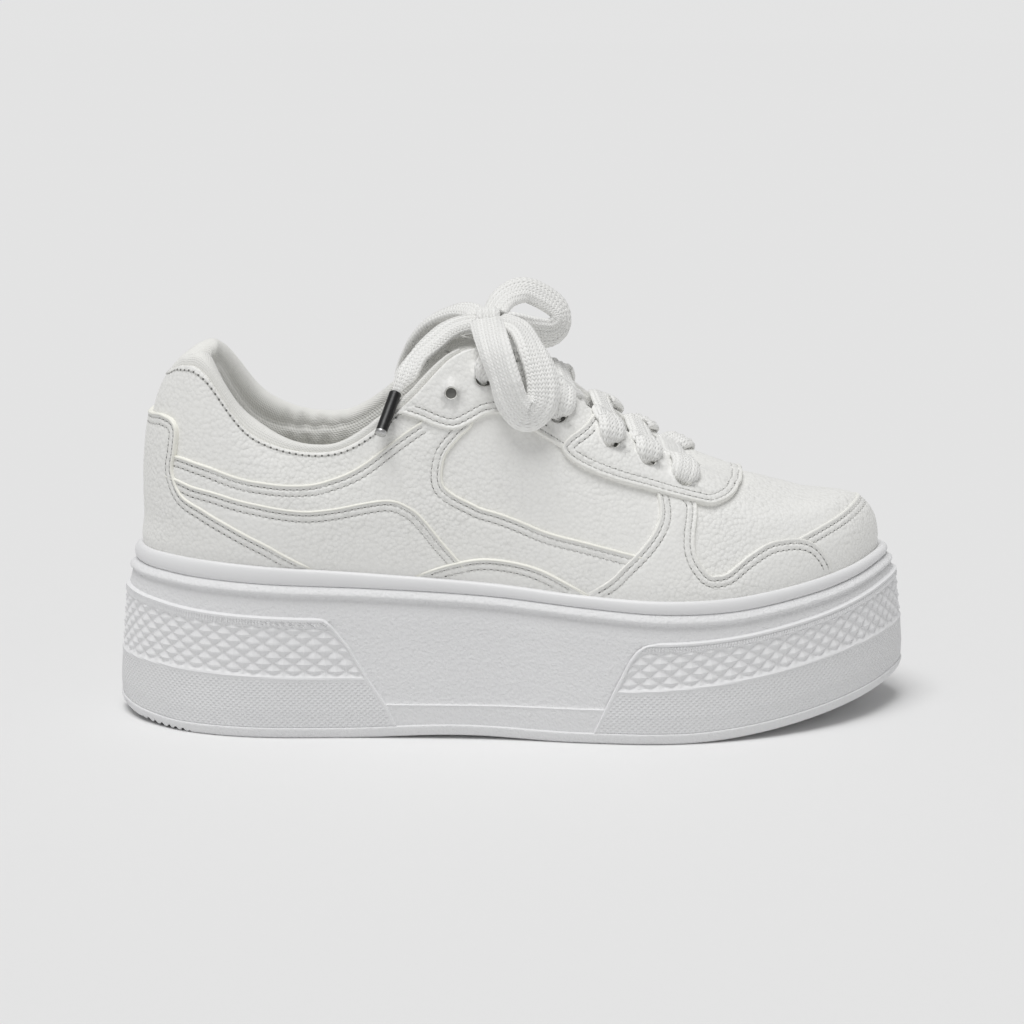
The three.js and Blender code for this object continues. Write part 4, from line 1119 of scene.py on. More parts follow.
@dataclass
class Upper:
    """Base leather, overlays, stitch rows and eyelets."""

    form: ShoeForm
    bench: Bench
    finishes: Finishes
    around: int = 620
    grid_step: float = 1.5
    stitch_pitch: float = 2.25
    eyelets: tuple = ((10.54, 0.72), (10.08, 0.78), (9.48, 0.77), (8.58, 0.77), (7.93, 0.82),
                      (7.29, 0.872), (6.64, 0.88))
    eyelet_radius: float = 3.1
    spare_radius: float = 1.9
    stitches: list = field(default_factory=list)

    def build(self) -> None:
        """Makes every piece of the upper."""
        self.base()
        for piece in self.pattern():
            self.overlay(piece)
        self.collar_seam()
        self.sew()
        self.paint_well_shades()

    def base(self) -> None:
        """The leather that the other pieces are sewn on, rolled in at the top edge."""
        f, n = self.form, self.around
        u = np.arange(n) * 2 * f.last / n
        rows = [f.surface(u, np.full(n, s)) for s in np.linspace(-0.06, 1, 64)]
        up = f.surface(u, np.full(n, 1.0)) - f.surface(u, np.full(n, 0.97))
        rolled = unit(up)
        edge, normal = f.surface(u, np.full(n, 1.0)), f.normal(u, np.full(n, 0.98))
        for out, high in ((-0.15, 0.35), (-0.55, 0.62), (-1.1, 0.7), (-1.7, 0.5), (-2.0, 0.0)):
            rows.append(edge + normal * out + rolled * high)
        points = np.concatenate(rows)
        self.bench.piece("base_leather", points, Bench.grid(len(rows), n, closed=True),
                         self.finishes.leather, Slot.LEATHER, ("upper",),
                         marks={"edge": np.zeros(len(points))})

    def mirrored(self, runs: list) -> list:
        """The same cut on the inner side."""
        full = 2 * self.form.last
        return [([(full - u, v) for u, v in run[::-1]], sewn) for run, sewn in runs[::-1]]

    def pattern(self) -> list[PatternPiece]:
        """Every overlay, lowest first."""
        last = self.form.last
        below = -0.035
        band = [([(2.1, 0.44), (2.44, 0.463), (3.02, 0.487), (3.47, 0.541), (3.97, 0.624),
                  (4.33, 0.664), (4.65, 0.704), (4.91, 0.758), (5.23, 0.812), (5.57, 0.855),
                  (5.9, 0.868), (6.15, 0.87)], True),
                ([(6.15, 0.87), (6.6, 0.82), (6.85, 0.775)], False),
                ([(6.85, 0.775), (6.7, 0.717), (6.47, 0.70), (6.22, 0.665), (6.09, 0.607),
                  (6.03, 0.537), (6.10, 0.481), (6.28, 0.421), (6.49, 0.376), (7.19, 0.285),
                  (7.99, 0.25), (8.85, 0.223), (9.2, 0.21)], True),
                ([(9.2, 0.21), (8.9, 0.1), (8.4, below)], False),
                ([(8.4, below), (5, below), (2.1, below)], False),
                ([(2.1, below), (2.1, 0.2), (2.1, 0.44)], False)]
        lower = [([(2.2, 0.345), (2.52, 0.35), (3.04, 0.357), (3.54, 0.409), (3.96, 0.455),
                   (4.31, 0.467), (4.56, 0.476), (4.81, 0.504), (5.08, 0.536), (5.32, 0.539),
                   (5.47, 0.518), (5.58, 0.472), (5.68, 0.404), (5.82, 0.246), (5.95, 0.127),
                   (6.02, 0.06)], True),
                 ([(6.02, 0.06), (6.05, below)], False),
                 ([(6.05, below), (4, below), (2.2, below)], False),
                 ([(2.2, below), (2.2, 0.15), (2.2, 0.345)], False)]
        arch = [([(7.95, below), (7.86, 0.002), (7.46, 0.056), (7.07, 0.103), (6.76, 0.128),
                  (6.41, 0.144), (6.17, 0.143), (5.95, 0.12), (5.72, 0.074), (5.53, 0.005),
                  (5.45, below)], True),
                ([(5.45, below), (6.7, below), (7.95, below)], False)]
        arch = [(run[::-1], sewn) for run, sewn in arch]
        guard = [([(7.72, below), (7.84, 0.005), (8.33, 0.088), (8.59, 0.138), (9.06, 0.233),
                   (9.40, 0.329), (9.63, 0.427), (9.77, 0.539), (9.8, 0.6)], True),
                 ([(9.8, 0.6), (10.1, 0.61), (10.42, 0.6)], False),
                 ([(10.42, 0.6), (10.37, 0.528), (10.03, 0.343), (9.93, 0.236), (10.01, 0.147),
                   (10.11, 0.135), (10.31, 0.147), (10.71, 0.228), (11.11, 0.291),
                   (11.38, 0.295), (11.6, 0.272), (11.76, 0.215), (11.87, 0.12), (11.97, 0.01),
                   (12.0, below)], True),
                 ([(12.0, below), (10, below), (7.72, below)], False)]
        cap_edge = [(11.45, 0.255), (11.62, 0.283), (12.19, 0.325), (13.0, 0.357), (13.77, 0.392)]
        cap = [(cap_edge + [(2 * last - u, v) for u, v in cap_edge[::-1]], True),
               ([(2 * last - 11.45, 0.255), (2 * last - 11.45, below)], False),
               ([(2 * last - 11.45, below), (14, below), (11.45, below)], False),
               ([(11.45, below), (11.45, 0.255)], False)]
        rear = [([(10.0, 1.0), (9, 1.0), (8, 1.0), (7, 1.0), (6.4, 1.0), (5.88, 1.0)], False),
                ([(5.88, 1.0), (5.95, 0.97), (6.09, 0.89), (6.23, 0.81), (6.38, 0.755),
                  (6.54, 0.733), (6.78, 0.729), (7.0, 0.732), (7.27, 0.723), (7.53, 0.703),
                  (7.82, 0.66), (8.29, 0.61), (8.6, 0.59)], True),
                ([(8.6, 0.59), (9.1, 0.7), (9.6, 0.86), (10.0, 1.0)], False)]
        rear = [(run[::-1], sewn) for run, sewn in rear[::-1]]
        half = [(9.62, 1.0), (9.5, 0.93), (9.15, 0.8), (8.85, 0.725), (8.5, 0.66), (8.27, 0.61),
                (8.31, 0.575), (8.5, 0.555), (8.78, 0.543), (9.23, 0.537), (9.69, 0.546),
                (10.07, 0.547), (10.4, 0.548), (10.68, 0.556), (11.14, 0.645), (11.55, 0.749),
                (12, 0.836), (12.67, 0.902), (13.3, 0.934)]
        top = [(u, 1.0) for u in np.linspace(9.62, 2 * last - 9.62, 24)]
        front = [(half + [(14, 0.95)] + [(2 * last - u, v) for u, v in half[::-1]], True),
                 (top[::-1], False)]
        half_heel = [(0.56, 0.658), (1.5, 0.66), (1.95, 0.663), (2.3, 0.652), (2.5, 0.6),
                     (2.5, 0.483), (2.46, 0.379), (2.72, 0.286), (3.21, 0.259), (3.69, 0.233),
                     (4.06, 0.178), (4.30, 0.107), (4.59, 0.005), (4.65, below)]
        counter = [([(-u, v) for u, v in half_heel[::-1]] + half_heel, True),
                   ([(4.65, below), (2, below), (0, below), (-2, below), (-4.65, below)], False)]
        made = []
        for tag, runs, rise in (("band", band, 0.75), ("lower", lower, 1.05),
                                ("guard", guard, 1.05), ("arch", arch, 1.4)):
            cream = 0.3 if tag == "guard" else 1.0
            made.append(PatternPiece(f"{tag}_lateral", runs, rise, cream=cream))
            made.append(PatternPiece(f"{tag}_medial", self.mirrored(runs), rise, cream=cream))
        made.insert(0, PatternPiece("toe_cap_leather", cap, 0.65, stands_for=("toe_cap",)))
        full = 2 * last
        rear_holes, front_holes = list(self.eyelets[3:]), list(self.eyelets[:3])
        made.append(PatternPiece("eyestay_lateral_leather", rear, 1.3, rear_holes,
                                 ("eyestay_lateral",)))
        made.append(PatternPiece("eyestay_medial_leather", self.mirrored(rear), 1.3,
                                 [(full - u, v) for u, v in rear_holes], ("eyestay_medial",)))
        both_holes = front_holes + [(full - u, v) for u, v in front_holes]
        made.append(PatternPiece("eyestay_front_leather", front, 1.9, both_holes,
                                 ("eyestay_front",)))
        made.append(PatternPiece("heel_counter_leather", counter, 1.4, stands_for=("heel_counter",),
                                 cream=1.0))
        return made

    def to_places(self, run: list, step: float = 0.9) -> np.ndarray:
        """A run of (rib, angle) as evenly spaced (rib, share) places."""
        p = np.array(run, float)
        s = self.form.share(p[:, 0], p[:, 1])
        scaled = np.column_stack([p[:, 0], s]) * FLAT
        line = through(scaled.tolist(), step) if len(p) > 2 else scaled[[0]] + (
            scaled[[1]] - scaled[[0]]) * np.linspace(0, 1, 12)[:, None]
        return line / FLAT

    def moved(self, places: np.ndarray, inward: np.ndarray, by: float) -> np.ndarray:
        """Places shifted over the surface by a distance along directions in space."""
        u, s = places[:, 0], places[:, 1]
        hu, hs = 0.03, 0.01
        low, high = np.clip(s - hs, -1, 0.99), np.clip(s + hs, 0.01, 1)
        pu = (self.form.surface(u + hu, s) - self.form.surface(u - hu, s)) / (2 * hu)
        ps = (self.form.surface(u, high) - self.form.surface(u, low)) / (high - low)[:, None]
        a, b, c = (pu * pu).sum(1), (pu * ps).sum(1), (ps * ps).sum(1)
        d, e = (pu * inward).sum(1) * by, (ps * inward).sum(1) * by
        det = np.maximum(a * c - b * b, 1e-6)
        return np.column_stack([u + (d * c - e * b) / det, s + (e * a - d * b) / det])

    def overlay(self, piece: PatternPiece) -> None:
        """Makes one overlay with a rolled, creamy cut edge, and notes its stitch rows."""
        f = self.form
        lines, sewn = [], []
        for run, shows in piece.runs:
            line = self.to_places(run)[:-1]
            lines.append(line)
            sewn.append(np.full(len(line), shows))
        outline, shown = np.concatenate(lines), np.concatenate(sewn)
        x, y = (outline * FLAT).T
        if (x * np.roll(y, -1) - np.roll(x, -1) * y).sum() < 0:
            outline, shown = outline[::-1], shown[::-1]
        at = f.surface(outline[:, 0], outline[:, 1])
        normal = f.normal(outline[:, 0], outline[:, 1])
        inward = unit(np.cross(normal, unit(np.roll(at, -1, 0) - np.roll(at, 1, 0))))
        tree = self.tree_of(at[shown])
        rings = [(0.0, None), (0.0, 0.4), (0.06, 0.85), (0.28, None), (0.62, None), (1.0, None)]
        flat_points, count = [], len(outline)
        for inset, _ in rings:
            flat_points.append(self.moved(outline, inward, inset))
        inner = flat_points[-1]
        free = self.free_points(inner, outline, inward, tree, shown)
        hole_loops, hole_rings = self.hole_places(piece)
        free = free[self.inside(free, inner)]
        for loop in hole_loops:
            centre = loop.mean(0)
            away = np.hypot(*((free - centre) * FLAT).T)
            free = free[away > self.eyelet_radius + 1.1]
        everything = np.concatenate([inner, *hole_loops, free]) * FLAT
        edges = self.loop_edges(0, count)
        start = count
        for loop in hole_loops:
            edges += self.loop_edges(start, len(loop))
            start += len(loop)
        found, _, faces, origin, _, _ = delaunay_2d_cdt(
            [Vector(p) for p in everything], edges, [], 0, 1e-5)
        flat = np.array([tuple(p) for p in found]) / FLAT
        number = {min(o): k for k, o in enumerate(origin) if o}
        centres = np.array([flat[list(face)].mean(0) for face in faces])
        good = self.inside(centres, inner)
        for loop in hole_loops:
            good &= ~self.inside(centres, loop)
        top = f.surface(flat[:, 0], flat[:, 1], self.height(piece, flat, tree))
        mark = bump(self.distance(flat, tree), 0.2, 0.5) * piece.cream
        base = len(top)
        points, marks = [top], [mark]
        cream = shown * piece.cream
        for k, (_, fixed) in enumerate(rings[:-1]):
            places = flat_points[k]
            if k == 0:
                out = np.full(count, -0.35)
            elif fixed is not None:
                out = np.full(count, piece.rise * fixed)
            else:
                out = self.height(piece, places, tree)
            points.append(f.surface(places[:, 0], places[:, 1], out * self.settle(places)))
            marks.append(cream)
        body = [[int(v) for v in face] for face, ok in zip(faces, good) if ok]
        last_ring = [number.get(k, 0) for k in range(count)]
        for k in range(len(rings) - 1):
            low = [base + k * count + i for i in range(count)]
            high = last_ring if k == len(rings) - 2 else [base + (k + 1) * count + i
                                                          for i in range(count)]
            for i in range(count):
                j = (i + 1) % count
                body.append([low[i], low[j], high[j], high[i]])
        start, total = count, base + (len(rings) - 1) * count
        for loop, inner_rings in zip(hole_loops, hole_rings):
            size = len(loop)
            outer = [number.get(start + i, 0) for i in range(size)]
            for places, drop in inner_rings:
                out = piece.rise + drop
                points.append(f.surface(places[:, 0], places[:, 1], out))
                marks.append(np.full(size, 0.5))
                ring = [total + i for i in range(size)]
                total += size
                for i in range(size):
                    j = (i + 1) % size
                    body.append([outer[i], outer[j], ring[j], ring[i]])
                outer = ring
            start += size
        self.bench.piece(piece.name, np.concatenate(points), body, self.finishes.leather,
                         Slot.LEATHER, piece.stands_for, marks={"edge": np.concatenate(marks)})
        for row in piece.rows:
            self.note_row(piece, outline, inward, shown, tree, row)

    @staticmethod
    def loop_edges(start: int, count: int) -> list:
        """Edges of a closed loop of numbered points."""
        return [(start + i, start + (i + 1) % count) for i in range(count)]

    @staticmethod
    def settle(places: np.ndarray) -> np.ndarray:
        """Share of its rise that a piece keeps where the bead presses on it."""
        return 0.55 + 0.45 * smooth(-0.02, 0.05, places[:, 1])

    @staticmethod
    def tree_of(points: np.ndarray) -> KDTree:
        """A search tree of points."""
        tree = KDTree(len(points))
        for k, p in enumerate(points):
            tree.insert(p, k)
        tree.balance()
        return tree

    def distance(self, places: np.ndarray, tree: KDTree) -> np.ndarray:
        """Distance over the surface from places to the sewn edge."""
        p = self.form.surface(places[:, 0], places[:, 1])
        return np.array([tree.find(q)[2] for q in p])

    def height(self, piece: PatternPiece, places: np.ndarray, tree: KDTree) -> np.ndarray:
        """Rise of an overlay's face: a rolled rim, then a dip along each stitch row."""
        d = self.distance(places, tree)
        face = piece.rise + 0.34 * bump(d, 0.52, 0.4)
        for row in piece.rows:
            face = face - 0.34 * bump(d, row, 0.5)
        swell = 0.14 * bump(d, 2.8, 0.5)
        return (face + swell) * self.settle(places)

    def free_points(self, inner: np.ndarray, outline: np.ndarray, inward: np.ndarray, tree: KDTree,
                    shown: np.ndarray) -> np.ndarray:
        """Places inside an overlay: close lines along its sewn edge, and a grid elsewhere."""
        rows = []
        for inset in (1.4, 1.75, 2.1, 2.8, 3.5, 3.85, 4.2, 4.9):
            line = self.moved(outline, inward, inset)[shown]
            far = self.distance(line, tree)
            rows.append(line[far > inset * 0.94])
        low, high = inner.min(0), inner.max(0)
        u = np.arange(low[0], high[0], self.grid_step / RIB_RUN)
        s = np.arange(low[1], high[1], self.grid_step / SIDE_RUN)
        grid = np.stack(np.meshgrid(u, s), -1).reshape(-1, 2)
        grid = grid[self.inside(grid, inner)]
        if len(grid):
            grid = grid[self.distance(grid, tree) > 5.6]
        border = self.tree_of(np.column_stack([inner * FLAT, np.zeros(len(inner))]))
        both = np.concatenate([*rows, grid])
        away = np.array([border.find((*p, 0))[2] for p in both * FLAT])
        return both[away > 0.28]

    @staticmethod
    def inside(places: np.ndarray, loop: np.ndarray) -> np.ndarray:
        """Whether each place lies within a closed loop."""
        result = np.zeros(len(places), bool)
        ax, ay = loop[:, 0], loop[:, 1]
        bx, by = np.roll(ax, -1), np.roll(ay, -1)
        for k in range(0, len(places), 4000):
            x, y = places[k:k + 4000, :1], places[k:k + 4000, 1:2]
            crosses = (ay > y) != (by > y)
            rise = np.where(np.abs(by - ay) < 1e-12, 1e-12, by - ay)
            hit = crosses & (x < (bx - ax) * (y - ay) / rise + ax)
            result[k:k + 4000] = hit.sum(1) % 2 == 1
        return result

    def hole_places(self, piece: PatternPiece) -> tuple[list, list]:
        """Loops round a piece's eyelets, and the rings that go down into each."""
        loops, rings = [], []
        angle = np.linspace(0, 2 * np.pi, 20, endpoint=False)
        for u, v in piece.holes:
            s = self.form.share(np.array([u]), np.array([v]))[0]
            circle, radius = self.circle(u, s, angle), self.radius_of(u)
            loops.append(circle(radius + 0.35))
            rings.append([(circle(radius + 0.1), -0.12), (circle(radius), -0.5),
                          (circle(radius), -2.4)])
        return loops, rings

    def radius_of(self, u: float) -> float:
        """Radius of the eyelet at u: the one that no lace uses is smaller."""
        spare = min(u, 2 * self.form.last - u) < 7
        return self.spare_radius if spare else self.eyelet_radius

    def circle(self, u: float, s: float, angle: np.ndarray):
        """A maker of round loops on the surface about one place."""
        n = len(angle)
        here = np.repeat([[u, s]], n, axis=0)
        normal = self.form.normal(here[:1, 0], here[:1, 1])[0]
        side = unit(np.cross(normal, [0.0, 0.0, 1.0]))
        up = np.cross(side, normal)
        way = np.cos(angle)[:, None] * side + np.sin(angle)[:, None] * up
        return lambda radius: self.moved(here, way, radius)

    def note_row(self, piece: PatternPiece, outline: np.ndarray, inward: np.ndarray,
                 shown: np.ndarray, tree: KDTree, row: float) -> None:
        """Keeps the stitches of one row of a piece's sewn edge."""
        line = self.moved(outline, inward, row)
        ok = shown & (self.distance(line, tree) > row * 0.95) & (line[:, 1] > 0.012)
        ok &= line[:, 1] < 0.985
        if piece.name.startswith("eyestay_front"):
            ok &= np.abs(line[:, 0] - self.form.last) > 0.4
        runs = np.flatnonzero(np.diff(np.concatenate([[0], ok.astype(int), [0]])))
        for a, b in zip(runs[::2], runs[1::2]):
            if b - a < 4:
                continue
            places = line[a:b]
            out = self.height(piece, places, tree)
            self.add_row(places, out, piece.name)

    def add_row(self, places: np.ndarray, out: np.ndarray, owner: str) -> None:
        """Sets stitches at even steps along a row of places."""
        p = self.form.surface(places[:, 0], places[:, 1], out)
        n = self.form.normal(places[:, 0], places[:, 1])
        run = np.concatenate([[0], np.cumsum(np.linalg.norm(np.diff(p, axis=0), axis=1))])
        count = max(int(run[-1] / self.stitch_pitch), 1)
        want = (np.arange(count) + 0.5) * run[-1] / count
        at = np.stack([np.interp(want, run, p[:, k]) for k in range(3)], 1)
        ahead = np.stack([np.interp(want + 0.4, run, p[:, k]) for k in range(3)], 1)
        back = np.stack([np.interp(want - 0.4, run, p[:, k]) for k in range(3)], 1)
        face = unit(np.stack([np.interp(want, run, n[:, k]) for k in range(3)], 1))
        self.stitches.append((at, unit(ahead - back), face, run[-1] / count, owner))

    def collar_seam(self) -> None:
        """The row that holds the collar's lining to the leather's edge."""
        n = 500
        u = np.linspace(-6.6, 6.6, n)
        places = np.column_stack([u, np.full(n, 0.982)])
        self.add_row(places, np.full(n, 0.05), "collar")

    def sew(self) -> None:
        """Makes all threads as one piece and, as another, dark ovals of painted shade at all needle holes."""
        threads, holes = [[], [], 0], [[], [], 0]
        angle = np.linspace(0, 2 * np.pi, 6, endpoint=False)
        ring = np.column_stack([np.cos(angle), np.sin(angle)])
        for at, along, face, pitch, _ in self.stitches:
            side = np.cross(along, face)
            length = pitch * 0.5 - 0.28
            for k in range(len(at)):
                stations = ((-length, 0.08, -0.12), (-length * 0.6, 0.27, 0.02), (0, 0.32, 0.1),
                            (length * 0.6, 0.27, 0.02), (length, 0.08, -0.12))
                for run, radius, high in stations:
                    centre = at[k] + along[k] * run + face[k] * high
                    threads[0].append(centre + ring[:, :1] * radius * side[k]
                                      + ring[:, 1:] * radius * face[k])
                threads[1] += [[threads[2] + a for a in q] for q in self._tube]
                threads[2] += 30
                # Painted shade: a dark oval between stitches stands for the shadow inside the needle holes.
                centre = at[k] + along[k] * pitch * 0.5 + face[k] * 0.06
                oval = centre + ring[:, :1] * 0.46 * along[k] + ring[:, 1:] * 0.38 * side[k]
                holes[0].append(oval)
                holes[1].append([holes[2] + a for a in range(6)])
                holes[2] += 6
        self.bench.piece("stitch_threads", np.concatenate(threads[0]), threads[1],
                         self.finishes.thread, Slot.LEATHER)
        self.bench.piece("stitch_holes", np.concatenate(holes[0]), holes[1], self.finishes.painted_hole_shade,
                         Slot.LEATHER)

    @property
    def _tube(self) -> list:
        """Faces of a thread's short six-sided tube."""
        return Bench.grid(5, 6, closed=True)

    def paint_well_shades(self) -> None:
        """Painted shade: dark discs at the bottoms of the eyelets, for the shadow inside them."""
        points, faces, total = [], [], 0
        angle = np.linspace(0, 2 * np.pi, 20, endpoint=False)
        full = 2 * self.form.last
        for u, v in [*self.eyelets, *((full - u, v) for u, v in self.eyelets)]:
            s = self.form.share(np.array([u]), np.array([v]))[0]
            places = self.circle(u, s, angle)(self.radius_of(u) + 0.2)
            points.append(self.form.surface(places[:, 0], places[:, 1], 0.12))
            faces.append([total + i for i in range(20)])
            total += 20
        self.bench.piece("eyelet_wells", np.concatenate(points), faces, self.finishes.painted_hole_shade,
                         Slot.LEATHER)


# ---------------------------------------------------------------------------- inside


@dataclass
class Inside:
    """Lining, padded collar, tongue and insole."""

    form: ShoeForm
    bench: Bench
    finishes: Finishes
    pad: tuple = ((0, 8.5, 5.6), (2, 8.5, 6), (3, 8.5, 6.8), (3.5, 8.5, 8.2), (4, 8.5, 8.4),
                  (4.5, 8.2, 5), (5, 7.6, 3.7), (6, 4.6, 3.6), (6.5, 3, 3.2), (7.1, 2, 2.2))
    overhang: float = 1.7
    tucks: tuple = ((-4.3, -1.2), (-4.5, -2.0), (-4.72, -1.7), (-4.95, -1.0), (4.8, -0.8))
    tongue_rows: tuple = ((76, 80, 8, 1.5), (68, 82.6, 11, 2.4), (60, 86, 14, 3.5),
                          (45, 97, 20, 8.5), (28, 108.2, 22, 9.5), (12, 119.5, 22, 9.5),
                          (-3, 129, 20.5, 8), (-13, 133.6, 15.5, 4.8), (-20, 136, 13, 4),
                          (-23, 136.2, 11, 3.6))

    def build(self) -> None:
        """Makes every inside piece."""
        self.lining()
        self.collar()
        self.tongue()
        self.insole()

    def lining(self) -> None:
        """Knit that covers the inside of the upper down to the insole."""
        f, n = self.form, 420
        u = np.linspace(0, 2 * f.last, n)
        rows, flats = [], []
        for s in np.linspace(1, -0.16, 46):
            rows.append(f.surface(u, np.full(n, s), -2.1))
            flats.append(np.column_stack([u * 17, np.full(n, s * 60)]))
        self.bench.piece("lining_knit", np.concatenate(rows), Bench.grid(len(rows), n),
                         self.finishes.knit, Slot.TEXTILE, flat=np.concatenate(flats))

    def collar(self) -> None:
        """Foam collar: a soft roll that rises over the leather's edge and fills the inside."""
        f = self.form
        rows = np.array(self.pad)
        u = np.linspace(-7.1, 7.1, 520)
        thick = np.interp(np.abs(u), rows[:, 0], rows[:, 1])
        rise = np.interp(np.abs(u), rows[:, 0], rows[:, 2])
        kernel = np.hanning(21) / np.hanning(21).sum()
        thick, rise = (np.convolve(np.pad(a, 10, "edge"), kernel, "valid") for a in (thick, rise))
        edge = f.surface(u, np.full(len(u), 1.0))
        up = unit(edge - f.surface(u, np.full(len(u), 0.93)))
        out = f.normal(u, np.full(len(u), 0.97))
        tuck = sum(deep * bump(u, at, 0.07) for at, deep in self.tucks)
        section = []
        turn = np.linspace(0, 1, 22)
        for t in turn:
            angle = np.pi * (1 - t)
            bulge = self.overhang * math.sin(math.pi * min(2.2 * t, 1))
            across = bulge - 1.3 - (1 + np.cos(angle)) / 2 * (thick - 0.2 + tuck)
            high = np.sin(angle) ** 0.8 * rise * (1 + 0.04 * np.sin(u * 5))
            section.append(edge + out * across[:, None] + up * high[:, None])
        for share in np.linspace(0.06, 1, 20):
            s = 1 - share * 0.44
            belly = thick * (1 - share ** 1.8) + 0.35 * np.sin(share * np.pi) * thick
            belly = belly + tuck * np.sin(np.pi * share)
            section.append(f.surface(u, np.full(len(u), s), 0)
                           - f.normal(u, np.full(len(u), s)) * (1.5 + belly)[:, None])
        points = np.concatenate(section)
        run = np.concatenate([[0], np.cumsum(np.linalg.norm(np.diff(edge, axis=0), axis=1))])
        widths = np.arange(len(section)) * 1.1
        flat = np.column_stack([np.tile(run, len(section)), np.repeat(widths, len(u))])
        made = self.bench.piece("collar_foam", points, Bench.grid(len(section), len(u)),
                                self.finishes.knit, Slot.TEXTILE, ("collar_padding",), flat)
        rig.padded(made, fill=0.7)

    def tongue(self) -> None:
        """Padded tongue under the laces."""
        rows = np.array(self.tongue_rows, float)
        n, step, pitch = 37, 1.6, 1.1
        line = through(rows.tolist(), step)
        shares = np.linspace(-1, 1, n)
        top, low = [], []
        for x, z, half, drop in line:
            crown = z - drop * shares**2 - 0.5 * np.abs(shares) ** 6
            pillow = 0.35 * np.cos(np.pi * shares) - 0.35
            thick = 5.2 * (1 - 0.75 * shares**4)
            y = THROAT_Y + half * shares
            top.append(np.column_stack([np.full(n, x), y, crown + pillow]))
            low.append(np.column_stack([np.full(n, x), y[::-1], (crown - thick)[::-1]]))
        rings = [np.concatenate([a, b]) for a, b in zip(top, low)]
        tip = rings[-1].mean(0)
        for pull, back in ((0.12, 0.6), (0.4, 1.3), (0.75, 1.7), (0.97, 1.8)):
            rings.append(rings[len(line) - 1] * (1 - pull) + tip * pull - [back, 0, 0])
        points = np.concatenate(rings)
        flat = np.column_stack([np.repeat(np.arange(len(rings)) * step, 2 * n),
                                np.tile(np.arange(2 * n) * pitch, len(rings))])
        made = self.bench.piece("tongue_padded", points, Bench.grid(len(rings), 2 * n, closed=True),
                                self.finishes.knit, Slot.TEXTILE, ("tongue",), flat)
        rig.padded(made, fill=0.5)

    def insole(self) -> None:
        """Knit-covered insole, slightly dished."""
        f, n = self.form, 360
        at = np.arange(n) * 2 * f.rows / n
        plan = f.sole(at, np.full(n, f.upper_inset), 2.3)
        edge = np.column_stack([plan, f.level("rim", plan[:, 0]) - 9])
        rows = []
        opposite = edge[(-np.arange(n)) % n]
        for share in np.linspace(0, 0.5, 26):
            row = edge + (opposite - edge) * share
            row[:, 2] -= 1.2 * math.sin(share * math.pi) ** 0.7
            rows.append(row)
        points = np.concatenate(rows)
        flat = points[:, :2].copy()
        self.bench.piece("insole_knit", points, Bench.grid(len(rows), n, closed=True),
                         self.finishes.knit, Slot.TEXTILE, ("insole",), flat)


# ---------------------------------------------------------------------------- lace


@dataclass
class Ribbon:
    """A flat braided lace along a line, with ridges that run its length."""

    points: list
    faces: list
    width: float = 9.2
    thick: float = 3.6
    ridges: float = 3.5
    round_ends: bool = True
    sides: int = 36
    step: float = 0.75

    def mesh(self) -> tuple[np.ndarray, list, np.ndarray, np.ndarray]:
        """Sweeps the lace's section.

        Returns:
            Points, faces, unrolled places and the middle line.
        """
        line = through([list(p) for p in self.points], self.step)
        looks = through([list(p) for p in self.faces], 0.1)
        pick = np.linspace(0, len(looks) - 1, len(line)).astype(int)
        face = unit(looks[pick])
        along = unit(np.gradient(line, axis=0))
        side = unit(np.cross(along, face))
        up = np.cross(side, along)
        angle = np.linspace(0, 2 * np.pi, self.sides, endpoint=False)
        c, s = np.cos(angle), np.sin(angle)
        across = np.sign(c) * np.abs(c) ** 0.85 * self.width / 2
        ridge = 1 + 0.17 * np.cos(self.ridges * 2 * np.pi * across / self.width)
        high = np.sign(s) * np.abs(s) ** 0.7 * self.thick / 2 * ridge
        run = np.concatenate([[0], np.cumsum(np.linalg.norm(np.diff(line, axis=0), axis=1))])
        scale = np.ones(len(line))
        if self.round_ends:
            scale = 0.58 + 0.42 * smooth(0.5, 6, run) * smooth(0.5, 6, run[-1] - run)
        rings = (line[:, None] + side[:, None] * across[None, :, None]
                 * scale[:, None, None] + up[:, None] * high[None, :, None])
        n = len(angle)
        faces = Bench.grid(len(line), n, closed=True)
        faces += [list(range(n))[::-1], [(len(line) - 1) * n + k for k in range(n)]]
        flat = np.stack([np.repeat(run[:, None], n, 1), np.repeat(across[None], len(line), 0)], -1)
        return rings.reshape(-1, 3), faces, flat.reshape(-1, 2), line


